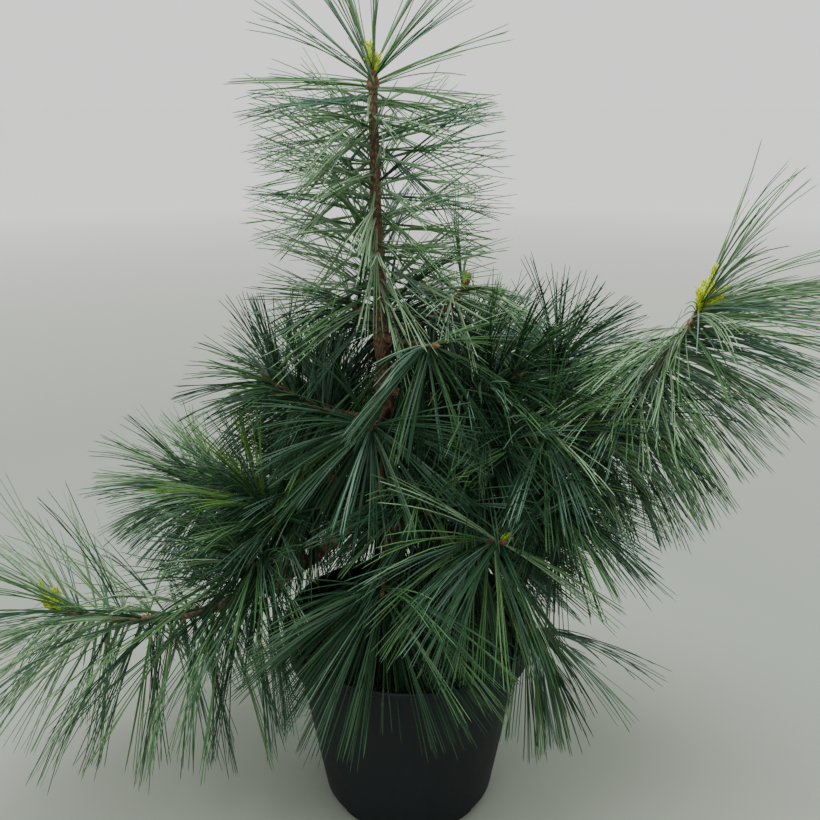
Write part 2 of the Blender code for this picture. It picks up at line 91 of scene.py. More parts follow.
class Tone(Enum):
    """The plain colours that bundles of needles are dealt, as linear red, green and blue."""

    # DEEP is painted shade: a near-black green dealt mostly to the bundles inside the crown.
    DEEP = (0.013, 0.039, 0.017)
    BLUE = (0.056, 0.112, 0.076)
    LEAF = (0.051, 0.113, 0.041)
    PALE = (0.122, 0.200, 0.108)
    FRESH = (0.078, 0.165, 0.030)


class Tip(Enum):
    """The candles round a shoot's bud: how many, how long, how far out and up they lean, how yellow."""

    PLAIN = (0, 0.0, 0.0, 0.0, 0.0)
    # GREEN's low yellow is painted shade: these are the same candles as the others, drawn duller and greener.
    GREEN = (1, 0.006, 0.2, 0.1, 0.15)
    PAIR = (6, 0.019, 0.45, 1.5, 0.6)
    LEADER = (6, 0.0088, 0.50, 0.3, 1.0)
    CROWN = (9, 0.0185, 0.70, 0.35, 1.0)


class Side(Enum):
    """The part of the crown that a shoot belongs to."""

    LEADER = "leader"
    LEFT = "left"
    RIGHT = "right"
    FRONT = "front"
    BACK = "back"


SIDES = list(Side)


@dataclass(frozen=True)
class Shoot:
    """A side shoot: a bare bough, then the length that carries needles. Lengths are metres, angles degrees.

    It leaves its parent `at` a height of the trunk or a length along a bough. Bearing, rise and spread,
    which is the needles' angle to the stem, go from a first to a last value. Density is bundles per metre.
    Hang, sweep, fall and tumble bend the needles, and fold lays the upper ones closer to the stem.
    """

    name: str
    parent: str
    at: float
    bearing: Pair
    rise: Pair
    bare: float
    clad: float
    needle: float
    radius: float
    side: Side
    hang: float = 0.3
    sweep: float = 0.2
    spread: Pair = (84, 34)
    density: float = 1900.0
    tip: Tip = Tip.PLAIN
    fresh: float = 0.0
    fold: float = 0.0
    fall: float = 0.0
    tumble: Triple = (0.0, 0.0, 0.0)


SHOOTS = (
    Shoot("left_low", "trunk", 0.266, (203, 170), (-54, 12), 0.110, 0.175, 0.128, 0.0048, Side.LEFT,
          0.52, 0.30, (86, 56), 900, Tip.PAIR, fold=12),
    Shoot("left_green", "left_low", 0.088, (186, 178), (52, 64), 0.026, 0.034, 0.088, 0.0028, Side.LEFT,
          0.0, 0.0, (70, 14), 1500, Tip.GREEN, fresh=0.4),
    Shoot("left_tan", "left_low", 0.100, (205, 195), (26, 20), 0.016, 0.022, 0.090, 0.0026, Side.LEFT,
          0.4, 0.2, (84, 40), 3000),
    Shoot("left_back", "trunk", 0.250, (158, 154), (-22, 6), 0.066, 0.122, 0.092, 0.0036, Side.LEFT,
          0.40, 0.2, (80, 40), 2100, Tip.GREEN),
    Shoot("left_middle", "trunk", 0.292, (182, 184), (-40, -20), 0.048, 0.034, 0.088, 0.0032, Side.LEFT,
          0.2, 0.2, (76, 34), 2400),
    Shoot("left_upper", "trunk", 0.312, (180, 176), (-4, 40), 0.030, 0.058, 0.078, 0.0030, Side.LEFT,
          0.10, 0.1, (78, 40), 1700),
    Shoot("right_big", "trunk", 0.240, (-6, 4), (9, 64), 0.142, 0.134, 0.112, 0.0052, Side.RIGHT,
          0.40, 0.75, (68, 48), 2000, Tip.CROWN, fold=44, tumble=(-0.70, -0.50, -0.60)),
    Shoot("right_short", "right_big", 0.128, (110, 60), (70, 86), 0.018, 0.050, 0.080, 0.0030, Side.RIGHT,
          0.1, 0.2, (78, 30), 2100),
    Shoot("right_lower", "right_big", 0.112, (-70, -85), (-8, -30), 0.012, 0.036, 0.095, 0.0028, Side.RIGHT,
          0.5, 0.3),
    Shoot("right_front", "right_big", 0.100, (-60, -95), (60, 34), 0.024, 0.042, 0.088, 0.0028, Side.RIGHT,
          0.4, 0.2),
    Shoot("right_foot", "trunk", 0.160, (-20, -24), (2, 0), 0.064, 0.054, 0.096, 0.0032, Side.RIGHT,
          0.7, 0.1, (88, 54), 2200, fall=0.8),
    Shoot("front_right", "trunk", 0.226, (-50, -56), (8, 26), 0.078, 0.046, 0.104, 0.0036, Side.FRONT,
          0.8, 0.0, (88, 58), 2000, Tip.GREEN),
    Shoot("front_middle", "trunk", 0.210, (-95, -92), (0, 10), 0.042, 0.038, 0.124, 0.0032, Side.FRONT,
          0.80, 0.0, (90, 44), 3600, fall=0.25),
    Shoot("front_inner", "trunk", 0.296, (-34, -30), (-4, 20), 0.044, 0.050, 0.084, 0.0030, Side.FRONT,
          0.4, 0.2, (84, 40), 1500),
    Shoot("front_centre", "trunk", 0.276, (-66, -70), (-10, 0), 0.032, 0.040, 0.086, 0.0030, Side.FRONT,
          0.5, 0.0, (88, 54), 1600),
    Shoot("front_high", "trunk", 0.318, (-97, -95), (4, 16), 0.032, 0.042, 0.088, 0.0030, Side.FRONT,
          0.8, 0.0, (88, 58)),
    Shoot("middle_right", "trunk", 0.332, (-22, -12), (-8, 30), 0.036, 0.060, 0.090, 0.0030, Side.FRONT),
    Shoot("whorl_front", "trunk", 0.370, (-64, -60), (6, 12), 0.034, 0.038, 0.086, 0.0028, Side.FRONT,
          0.65, 0.0, (88, 60), 1700, fall=0.4),
    Shoot("whorl_right", "trunk", 0.376, (-4, 6), (-6, 62), 0.024, 0.044, 0.078, 0.0028, Side.FRONT,
          0.4, 0.4, (88, 62), 1100, Tip.GREEN, fall=0.15),
    Shoot("whorl_left", "trunk", 0.381, (172, 168), (24, 30), 0.010, 0.016, 0.080, 0.0024, Side.FRONT,
          0.2, 0.2, (80, 34), 900),
    Shoot("whorl_back", "trunk", 0.364, (84, 92), (-10, 24), 0.028, 0.044, 0.076, 0.0028, Side.BACK,
          0.4, 0.2, (84, 50), 1500, Tip.GREEN),
    Shoot("back_left", "trunk", 0.300, (128, 122), (-10, 18), 0.032, 0.070, 0.086, 0.0032, Side.BACK,
          density=2900),
    Shoot("back_right", "trunk", 0.304, (52, 46), (-4, 24), 0.036, 0.082, 0.090, 0.0032, Side.BACK,
          0.3, 0.2, (80, 34), 2700, Tip.GREEN),
    Shoot("back_low", "trunk", 0.226, (98, 94), (-16, 20), 0.044, 0.096, 0.098, 0.0036, Side.BACK,
          density=2900, tip=Tip.GREEN),
    Shoot("right_back", "trunk", 0.212, (34, 30), (-14, 20), 0.044, 0.092, 0.098, 0.0036, Side.BACK,
          density=2900),
)


def ease(share: Array) -> Array:
    """0 to 1 with a level start and a level end: 3 s squared less 2 s cubed, with s held within 0 and 1."""
    held = np.clip(share, 0, 1)
    return held * held * (3 - 2 * held)


def unit(vectors: Array) -> Array:
    """Vectors scaled to length 1 along their last axis."""
    return vectors / np.maximum(np.linalg.norm(vectors, axis=-1, keepdims=True), 1e-12)


def heading(bearing: Array, rise: Array) -> Array:
    """Unit vectors for bearings and rises in degrees: (cos b cos r, sin b cos r, sin r)."""
    b = np.radians(bearing)
    r = np.radians(rise)
    return np.stack((np.cos(b) * np.cos(r), np.sin(b) * np.cos(r), np.sin(r)), -1)


def square_to(ahead: Array, spare: Array) -> tuple[Array, Array]:
    """Two unit vectors square to a direction: its cross product with a spare one, and with that product."""
    side = unit(np.cross(ahead, spare))
    return side, np.cross(ahead, side)


def out_at(angle: Array, side: Array, over: Array) -> Array:
    """Directions cos a side + sin a over."""
    return np.cos(angle)[..., None] * side + np.sin(angle)[..., None] * over


def circle(columns: int) -> Array:
    """Evenly spaced angles of a whole turn."""
    return np.linspace(0, TURN, columns, endpoint=False)


def about_z(radius: Array, angle: Array, height: Array) -> Array:
    """Points (r cos a, r sin a, z)."""
    return np.stack(np.broadcast_arrays(radius * np.cos(angle), radius * np.sin(angle), height), -1)


def evenly(count: int) -> Array:
    """The middles of that many equal shares of 0 to 1."""
    return (np.arange(count) + 0.5) / count


def ripple(around: Array, along: Array, seed: int, waves: int, turns: int, pitch: float) -> Array:
    """Soft noise that closes round a tube: sine waves of whole turns round it and random ones along it.

    Args:
        around: angles in radians.
        along: lengths in metres, of a shape that goes with the angles.
        seed: fixes the waves.
        waves: how many waves are added.
        turns: the most turns a wave makes round the tube.
        pitch: the shortest wave's length along the tube, in metres.

    Returns:
        Values of about -1 to 1.
    """
    dice = np.random.default_rng(seed)
    total = 0.0
    for _ in range(waves):
        total = total + np.sin(dice.integers(0, turns + 1) * around * dice.choice((-1, 1))
                               + along * TURN / (pitch * dice.uniform(1, 4)) + dice.uniform(0, TURN))
    return total / math.sqrt(waves)


@dataclass
class Patch:
    """A piece of surface: points, the quads and triangles that join them, and each point's relief."""

    points: Array
    quads: Array = field(default_factory=lambda: np.zeros((0, 4), int))
    tris: Array = field(default_factory=lambda: np.zeros((0, 3), int))
    relief: Array | None = None


def joined(patches: list[Patch]) -> Patch:
    """Several patches with relief as one, their faces renumbered.

    Args:
        patches: the patches.

    Returns:
        One patch.
    """
    starts = np.cumsum([0] + [len(p.points) for p in patches])
    return Patch(np.concatenate([p.points for p in patches]),
                 np.concatenate([p.quads + s for p, s in zip(patches, starts)]),
                 np.concatenate([p.tris + s for p, s in zip(patches, starts)]),
                 np.concatenate([p.relief for p in patches]))


def copies(faces: Array, count: int, each: int) -> Array:
    """One shape's faces, renumbered for many shapes of that many points each."""
    return (faces + each * np.arange(count)[:, None, None]).reshape(-1, faces.shape[1])


def tube_patch(grid: Array, relief: Array | None = None) -> Patch:
    """A closed tube: each ring joins the next, the last column joins the first, a fan closes each end.

    Args:
        grid: rings by columns by 3, the columns running anticlockwise about the way the rings go.
        relief: rings by columns, a value kept at each point.

    Returns:
        The closed patch, faces outwards.
    """
    rings, columns = grid.shape[:2]
    index = np.arange(rings * columns).reshape(rings, columns)
    turn = np.roll(index, -1, 1)
    quads = np.stack((index[:-1], turn[:-1], turn[1:], index[1:]), -1).reshape(-1, 4)
    pole = np.full(columns, rings * columns)
    fans = ((pole, turn[0], index[0]), (pole + 1, index[-1], turn[-1]))
    ends = np.concatenate([np.stack(fan, -1) for fan in fans])
    points = np.concatenate((grid.reshape(-1, 3), grid[:1].mean(1), grid[-1:].mean(1)))
    if relief is not None:
        relief = np.concatenate((relief.reshape(-1), (relief[0].mean(), relief[-1].mean())))
    return Patch(points, quads, ends, relief)


def needle_patch(paths: Array, radius: Array, twist: Array) -> Patch:
    """Three-sided needles along their paths, fullest in the middle and pointed at the end.

    A ring stands at each point but the last: the point plus w (cos t side + sin t over) for three angles t.
    At share u of the length, w is the radius times (0.78 + 0.22 ease(4 u)) times (1 - 0.45 u to the 4th).

    Args:
        paths: needles by points by 3.
        radius: each needle's radius.
        twist: each needle's turn about its own line.

    Returns:
        The needles as one patch, each closed.
    """
    count, rings = paths.shape[:2]
    along = np.cumsum(np.linalg.norm(np.diff(paths[0], axis=0), axis=1))
    u = np.concatenate(([0.0], along / along[-1]))[:-1]
    ahead = unit(np.gradient(paths, axis=1))[:, :-1]
    side = unit(np.cross(ahead, DOWN + 0.001))
    over = np.cross(side, ahead)
    width = (0.78 + 0.22 * ease(4 * u)) * (1 - 0.45 * u ** 4)
    angle = twist[:, None] + np.arange(3) * TURN / 3
    reach = radius[:, None, None, None] * width[None, :, None, None]
    ring = paths[:, :-1, None] + reach * out_at(angle[:, None], side[:, :, None], over[:, :, None])
    points = np.concatenate((ring.reshape(count, -1, 3), paths[:, -1:]), 1)
    base = np.arange((rings - 2) * 3).reshape(-1, 3)
    turn = np.roll(base, -1, 1)
    quads = np.stack((base + 3, turn + 3, turn, base), -1).reshape(-1, 4)
    tip = points.shape[1] - 1
    tris = np.array(((1, 2, 0), (tip, tip - 2, tip - 3), (tip, tip - 1, tip - 2), (tip, tip - 3, tip - 1)))
    return Patch(points.reshape(-1, 3), copies(quads, count, tip + 1), copies(tris, count, tip + 1))


def put(name: str, patch: Patch, finish: Material, smooth: bool = True) -> bpy.types.Object:
    """Makes an object at the origin from a patch.

    Args:
        name: the object's name.
        patch: its points and faces.
        finish: its material.
        smooth: whether its faces are shaded smooth.

    Returns:
        The new object.
    """
    mesh = bpy.data.meshes.new(name)
    corners = np.concatenate((patch.quads.reshape(-1), patch.tris.reshape(-1))).astype(np.int32)
    sizes = np.repeat((4, 3), (len(patch.quads), len(patch.tris)))
    mesh.vertices.add(len(patch.points))
    mesh.vertices.foreach_set("co", patch.points.astype(np.float32).ravel())
    mesh.loops.add(len(corners))
    mesh.loops.foreach_set("vertex_index", corners)
    mesh.polygons.add(len(sizes))
    mesh.polygons.foreach_set("loop_start", (np.cumsum(sizes) - sizes).astype(np.int32))
    mesh.polygons.foreach_set("use_smooth", np.full(len(sizes), smooth))
    mesh.update(calc_edges=True)
    mesh.validate()
    if patch.relief is not None:
        kept = mesh.attributes.new("relief", "FLOAT", "POINT")
        kept.data.foreach_set("value", patch.relief.astype(np.float32))
    mesh.materials.append(finish)
    made = bpy.data.objects.new(name, mesh)
    bpy.context.scene.collection.objects.link(made)
    return made


def deliver(piece: bpy.types.Object, slot: str, *nodes: str) -> None:
    """Hangs a piece on the part's body, hides the nodes it stands for, and reports it.

    Args:
        piece: the object.
        slot: its material slot; not used.
        nodes: the solids that it replaces.
    """
    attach(piece, "root")
    if nodes:
        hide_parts(*nodes)
    LOG.info("%s: %d faces for %d nodes", piece.name, len(piece.data.polygons), len(nodes))


def sums(operation: str, reflected: bool = False) -> Callable:
    """A method that adds a Math node.

    Args:
        operation: what the node does.
        reflected: whether the wire comes second.

    Returns:
        The method.
    """

    def method(wire: "Wire", other: "Wire | float") -> "Wire":
        """Adds the node and gives its value."""
        first, second = (other, wire) if reflected else (wire, other)
        return wire.graph.node("Math", "Value", {0: first, 1: second}, operation=operation)

    return method


@dataclass
class Wire:
    """A shader socket that takes part in Python sums; an operation adds its Math node."""

    graph: "Graph"
    socket: bpy.types.NodeSocket

    __add__ = sums("ADD")
    __radd__ = sums("ADD", reflected=True)
    __sub__ = sums("SUBTRACT")
    __rsub__ = sums("SUBTRACT", reflected=True)
    __mul__ = sums("MULTIPLY")
    __rmul__ = sums("MULTIPLY", reflected=True)
    __gt__ = sums("GREATER_THAN")


class Graph:
    """A material with its Principled shader and one method that adds any other node."""

    def __init__(self, name: str, colour: Triple, roughness: float, specular: float) -> None:
        """Starts a material of one colour and roughness."""
        self.material = bpy.data.materials.new(name)
        self.material.use_nodes = True
        self.tree = self.material.node_tree
        self.shader = self.tree.nodes["Principled BSDF"].inputs
        self.shader["Base Color"].default_value = (*colour, 1)
        self.shader["Roughness"].default_value = roughness
        self.shader["Specular IOR Level"].default_value = specular

    def node(self, kind: str, out: str | int, inputs: dict | None = None, stops: tuple = (),
             **settings: object) -> Wire:
        """Adds a node.

        Args:
            kind: its type, without the word ShaderNode.
            out: the output that is wanted, by name or number.
            inputs: values or wires for its inputs, by name or number.
            stops: a ramp's (position, colour) pairs.
            settings: its other settings.

        Returns:
            The output.
        """
        made = self.tree.nodes.new("ShaderNode" + kind)
        for name, value in settings.items():
            setattr(made, name, value)
        for _ in stops[2:]:
            made.color_ramp.elements.new(0.5)
        for number, (position, colour) in enumerate(stops):
            made.color_ramp.elements[number].position = position
            made.color_ramp.elements[number].color = (*colour, 1)
        for name, value in (inputs or {}).items():
            self.feed(made.inputs[name], value)
        return Wire(self, made.outputs[out])

    def feed(self, socket: bpy.types.NodeSocket, value: object) -> None:
        """Links a wire to a socket, or sets the socket's own value."""
        if isinstance(value, Wire):
            self.tree.links.new(value.socket, socket)
        else:
            socket.default_value = value

    def place(self, stretch: Triple = (1, 1, 1)) -> Wire:
        """Object coordinates, stretched."""
        return self.node("Mapping", "Vector", {"Vector": self.node("TexCoord", "Object"), "Scale": stretch})

    def noise(self, scale: float, detail: float, stretch: Triple = (1, 1, 1)) -> Wire:
        """Noise on Object coordinates, about 0.5."""
        return self.node("TexNoise", "Fac", {"Vector": self.place(stretch), "Scale": scale, "Detail": detail})

    def relief(self) -> Wire:
        """The relief value kept at each point."""
        return self.node("Attribute", "Fac", attribute_name="relief")

    def ramp(self, value: Wire, *stops: tuple[float, Triple]) -> Wire:
        """A colour ramp."""
        return self.node("ValToRGB", "Color", {"Fac": value}, stops)

    def blend(self, share: Wire, first: Wire | Triple, second: Wire | Triple) -> Wire:
        """A mix of two colours, each a wire or red, green and blue."""
        ends = [value if isinstance(value, Wire) else (*value, 1) for value in (first, second)]
        return self.node("Mix", 2, {0: share, 6: ends[0], 7: ends[1]}, data_type="RGBA")

    def finish(self, colour: Wire, roughness: Wire, height: Wire, bump: float,
               depth: float = 0.001) -> Material:
        """Links what varies to the shader and gives the material.

        Args:
            colour: base colour.
            roughness: roughness.
            height: height that bumps the surface.
            bump: the bump's strength.
            depth: the bump's distance in metres.

        Returns:
            The material.
        """
        lift = self.node("Bump", "Normal", {"Height": height, "Strength": bump, "Distance": depth})
        for socket, value in (("Base Color", colour), ("Roughness", roughness), ("Normal", lift)):
            self.feed(self.shader[socket], value)
        return self.material


@dataclass(frozen=True)
class PlasticFinish:
    """Black moulded polypropylene with a fine grain, faint scuffs and a little dried mix on it."""

    colour: Triple = (0.0045, 0.0060, 0.0074)
    worn: Triple = (0.0110, 0.0138, 0.0160)
    dirt: Triple = (0.036, 0.027, 0.020)

    def material(self) -> Material:
        """The material."""
        graph = Graph("black_plastic", self.colour, 0.5, 0.16)
        cloud = graph.noise(26, 3)
        scuff = graph.noise(90, 2, (1, 1, 0.12))
        speck = graph.noise(420, 2)
        worn = graph.blend(cloud * 0.55 + scuff * 0.35, self.colour, self.worn)
        colour = graph.blend((speck > 0.73) * 0.55, worn, self.dirt)
        rough = 0.36 + 0.22 * cloud + 0.12 * speck
        return graph.finish(colour, rough, graph.noise(1500, 2) + scuff * 0.4, 0.12, 0.0004)


@dataclass(frozen=True)
class MixFinish:
    """Damp composted bark and peat."""

    dark: Triple = (0.014, 0.009, 0.007)
    red: Triple = (0.070, 0.026, 0.016)
    light: Triple = (0.130, 0.070, 0.040)

    def material(self, name: str, lift: float = 0.0) -> Material:
        """The material of that name; lift leans its colours to the lighter ones."""
        graph = Graph(name, self.red, 0.92, 0.3)
        grain = graph.noise(520, 5)
        colour = graph.ramp(grain + lift, (0.36, self.dark), (0.52, self.red), (0.70, self.light))
        return graph.finish(colour, 0.80 + 0.2 * grain, grain + graph.noise(1600, 3) * 0.5, 0.7, 0.0012)


@dataclass(frozen=True)
class BarkFinish:
    """Thin reddish-brown bark, greenish in its grooves."""

    red: Triple = (0.130, 0.062, 0.034)
    tan: Triple = (0.300, 0.175, 0.095)
    green: Triple = (0.075, 0.085, 0.036)
    groove: Triple = (0.018, 0.011, 0.008)

    def material(self) -> Material:
        """The material."""
        graph = Graph("bark", self.red, 0.78, 0.35)
        patch = graph.noise(130, 3, (1, 1, 0.5))
        flake = graph.noise(760, 4, (1, 1, 0.45))
        stops = ((0.34, self.groove), (0.46, self.red), (0.64, self.tan))
        brown = graph.ramp(flake * 0.6 + patch * 0.4, *stops)
        mixed = graph.blend((patch - 0.42) * 2.6 * (1 - flake), brown, self.green)
        colour = graph.blend(0.5 - graph.relief() * 0.5, mixed, self.groove)
        return graph.finish(colour, 0.68 + 0.25 * flake, flake, 0.5, 0.0008)


@dataclass(frozen=True)
class HuskFinish:
    """The brown scales at the foot of the needles and round the buds."""

    dark: Triple = (0.060, 0.026, 0.014)
    light: Triple = (0.170, 0.085, 0.040)

    def material(self) -> Material:
        """The material."""
        graph = Graph("husk", self.dark, 0.7, 0.35)
        grain = graph.noise(900, 3)
        colour = graph.ramp(grain, (0.38, self.dark), (0.62, self.light))
        return graph.finish(colour, 0.6 + 0.3 * grain, grain, 0.3)


@dataclass(frozen=True)
class CandleFinish:
    """Soft yellow-green new growth."""

    green: Triple = (0.180, 0.330, 0.016)
    yellow: Triple = (0.520, 0.540, 0.008)

    def material(self) -> Material:
        """The material."""
        graph = Graph("candle", self.yellow, 0.5, 0.4)
        grain = graph.noise(430, 3)
        colour = graph.blend(graph.relief() * 0.7 + grain * 0.3, self.green, self.yellow)
        return graph.finish(colour, 0.42 + 0.2 * grain, grain, 0.25, 0.0006)


@dataclass(frozen=True)
class NeedleFinish:
    """A waxy needle of one plain colour."""

    tone: Triple
    roughness: float = 0.5

    def material(self, name: str) -> Material:
        """The material of that name."""
        return Graph(name, self.tone, self.roughness, 0.15).material


@dataclass
class Pot:
    """The nursery pot, a turned shell. Sizes in metres."""

    height: float = 0.150
    rim: float = 0.095
    lip: float = 0.0034
    lip_height: float = 0.0032
    lip_step: float = 0.0010
    rim_round: float = 0.0008
    collar: float = 0.022
    collar_foot: float = 0.0925
    ledge: float = 0.0016
    body_top: float = 0.0860
    body_foot: float = 0.0668
    base: float = 0.0625
    step: float = 0.008
    bead: Pair = (0.0014, 0.0022)
    wall: float = 0.0018
    floor: float = 0.003
    fillet: float = 0.0004
    slots: int = 6
    slot_depth: float = 0.0075
    slot_height: float = 0.0050
    foot_rings: int = 16
    columns: int = 240

    def inside(self) -> Array:
        """Radius and height from the inside floor up to the lip."""
        foot = self.height - self.collar
        return np.array((
            (self.base - self.wall, self.floor),
            (self.body_foot - self.wall, self.step),
            (self.body_top - self.wall, foot),
            (self.collar_foot - self.wall, foot + self.wall),
            (self.rim - self.lip, self.height - self.lip_height),
            (self.rim - self.lip + self.rim_round, self.height)))

    def outside(self) -> Array:
        """Radius and height from the lip down to the underside."""
        foot = self.height - self.collar
        return np.array((
            (self.rim - self.rim_round, self.height),
            (self.rim, self.height - self.rim_round),
            (self.rim, self.height - self.lip_height),
            (self.rim - self.lip_step, self.height - self.lip_height - self.lip_step),
            (self.collar_foot, foot),
            (self.body_top, foot - self.ledge),
            (self.body_foot, self.step),
            (self.base + self.bead[0], self.step - self.bead[1]),
            (self.base, 0.0)))

    def inner(self, height: Array) -> Array:
        """Inside radius at a height."""
        line = self.inside()
        return np.interp(height, line[:, 1], line[:, 0])

    def outer(self, height: Array) -> Array:
        """Outside radius at a height, up to the rounding of the rim."""
        line = self.outside()[:0:-1]
        return np.interp(height, line[:, 1], line[:, 0])

    def outline(self) -> Array:
        """The whole outline, each corner turned into a short curve and the foot split into rings.

        A corner becomes the quadratic curve through the points `fillet` before and after it.
        """
        line = np.concatenate((self.inside(), self.outside()))
        before = unit(line[:-2] - line[1:-1])[:, None]
        after = unit(line[2:] - line[1:-1])[:, None]
        t = np.linspace(0, 1, 4)[None, :, None]
        curve = line[1:-1, None] + self.fillet * ((1 - t) ** 2 * before + t ** 2 * after)
        corners = curve.reshape(-1, 2)
        return np.concatenate((line[:1], corners[:-1], np.linspace(corners[-1], line[-1], self.foot_rings)))

    def build(self) -> None:
        """Turns the outline about Z, sinks the drain slots into the foot and puts the pot in.

        A point is (r cos a, r sin a, z); in a slot, near the foot, r is cut back with a steep edge.
        """
        line = self.outline()
        angle = circle(self.columns)
        height = line[:, 1:]
        wave = np.cos((angle - math.pi / self.slots) * self.slots)
        slot = ease((wave - 0.62) * 9) * ease((self.slot_height - height) * 1500)
        outside = np.arange(len(line))[:, None] > len(line) // 2
        grid = about_z(line[:, :1] - self.slot_depth * slot * outside, angle, height)
        shell = put("pot_shell", tube_patch(grid[:, ::-1]), PlasticFinish().material())
        deliver(shell, "black_plastic", "pot")


@dataclass
class Mix:
    """The potting mix with its chips and the old needles that lie on it.

    The skirt is how deep the fill's lower rings and its edge lie below the level, and their gap to the pot.
    """

    pot: Pot
    lump: float = 0.0022
    crumb: float = 0.0006
    standing: float = 0.024
    skirt: tuple[Pair, ...] = ((0.02, 0.0008), (0.004, 0.0006), (0.0, 0.0004))
    rings: int = 90
    columns: int = 200
    chips: int = 620
    chip_size: Triple = (0.0056, 0.0032, 0.0013)
    clear_of_trunk: float = 0.013
    old_needles: int = 16

    def height(self, x: Array, y: Array) -> Array:
        """Height of the mix: the source's lumps, level where the trunk stands."""
        lumps = np.sin(95 * x + 1.3) * np.cos(110 * y) + 0.6 * np.sin(190 * x - 160 * y)
        away = np.hypot(x - FOOT[0], y - FOOT[1])
        return LEVEL + self.lump * lumps * ease((away - self.standing) / self.standing)

    def build(self) -> None:
        """Puts in the fill, the chips and the old needles."""
        below, ledge, edge = (float(self.pot.inner(LEVEL - drop)) - gap for drop, gap in self.skirt)
        angle = circle(self.columns)
        radius = np.concatenate(((0.0005, below, ledge), edge * np.linspace(1, 0.004, self.rings)))[:, None]
        grid = about_z(radius, angle, LEVEL)
        crumbs = ripple(angle, radius, 5, 40, 60, 0.0040)
        lumps = self.height(grid[..., 0], grid[..., 1]) - LEVEL
        grid[..., 2] += (lumps + self.crumb * crumbs) * ease((edge - radius) / 0.008)
        grid[:3, :, 2] = LEVEL - np.array(((0.02,), (0.02,), (0.004,)))
        finish = MixFinish()
        deliver(put("mix_fill", tube_patch(grid), finish.material("mix_fill")), "potting_mix", "potting_mix")
        dice = np.random.default_rng(SEED + 1)
        for name, share, lift in (("mix_chips_dark", 0.6, -0.03), ("mix_chips_red", 0.4, 0.12)):
            patch = self.chip_patch(int(self.chips * share), edge - 0.006, dice)
            deliver(put(name, patch, finish.material(name, lift), smooth=False), "potting_mix")
        self.lay_old_needles(edge - 0.012, dice)

    def chip_patch(self, count: int, reach: float, dice: Dice) -> Patch:
        """Flat, uneven chips of bark: boxes with every corner moved, laid at any angle and half sunk.

        Args:
            count: how many chips are thrown; those that would touch the trunk are left out.
            reach: the radius they lie within.
            dice: the random numbers.

        Returns:
            The chips as one patch.
        """
        r = reach * np.sqrt(dice.uniform(0.0, 1, count))
        spots = about_z(r, dice.uniform(0, TURN, count), 0.0)
        spots = spots[np.hypot(spots[:, 0] - FOOT[0], spots[:, 1] - FOOT[1]) > self.clear_of_trunk]
        spots[:, 2] = self.height(spots[:, 0], spots[:, 1]) + 0.0006
        count = len(spots)
        corner = np.array([(i, j, k) for k in (-1, 1) for j in (-1, 1) for i in (-1, 1)], float)
        size = dice.uniform(0.5, 1.0, (count, 1, 1)) ** 1.6 * np.array(self.chip_size)
        local = corner * size * dice.uniform(0.6, 1.15, (count, 8, 3))
        ahead = heading(dice.uniform(0, 360, count), dice.normal(0, 16, count))
        side = unit(np.cross(ahead, DOWN) + 0.35 * dice.normal(0, 1, (count, 3)))
        side = unit(side - (side * ahead).sum(-1, keepdims=True) * ahead)
        points = local @ np.stack((ahead, side, np.cross(ahead, side)), 1) + spots[:, None]
        faces = ((0, 2, 3, 1), (4, 5, 7, 6), (0, 1, 5, 4), (2, 6, 7, 3), (0, 4, 6, 2), (1, 3, 7, 5))
        return Patch(points.reshape(-1, 3), copies(np.array(faces), count, 8))

    def lay_old_needles(self, reach: float, dice: Dice) -> None:
        """Lays tan old needles in flat arcs on the lumps of the mix.

        Args:
            reach: the radius they are kept within.
            dice: the random numbers.
        """
        count = self.old_needles
        level = np.zeros(count)
        middle = heading(dice.uniform(0, 360, count), level) * dice.uniform(0.25, 0.8, (count, 1)) * reach
        along = heading(dice.uniform(0, 360, count), level)
        share = np.linspace(-0.5, 0.5, 8)[None, :, None]
        paths = middle[:, None] + along[:, None] * share * dice.uniform(0.045, 0.07, (count, 1, 1)) \
            + np.cross(along, DOWN)[:, None] * dice.normal(0, 0.014, (count, 1, 1)) * (0.25 - share ** 2)
        paths *= np.minimum(1, reach / np.hypot(paths[..., 0], paths[..., 1]))[..., None]
        paths[..., 2] = self.height(paths[..., 0], paths[..., 1]) + dice.uniform(0.0022, 0.0045, (count, 1))
        patch = needle_patch(paths, np.full(count, 0.00055), dice.uniform(0, TURN, count))
        finish = NeedleFinish((0.42, 0.26, 0.12), 0.6).material("old_needles")
        deliver(put("old_needles", patch, finish, smooth=False), "needles")


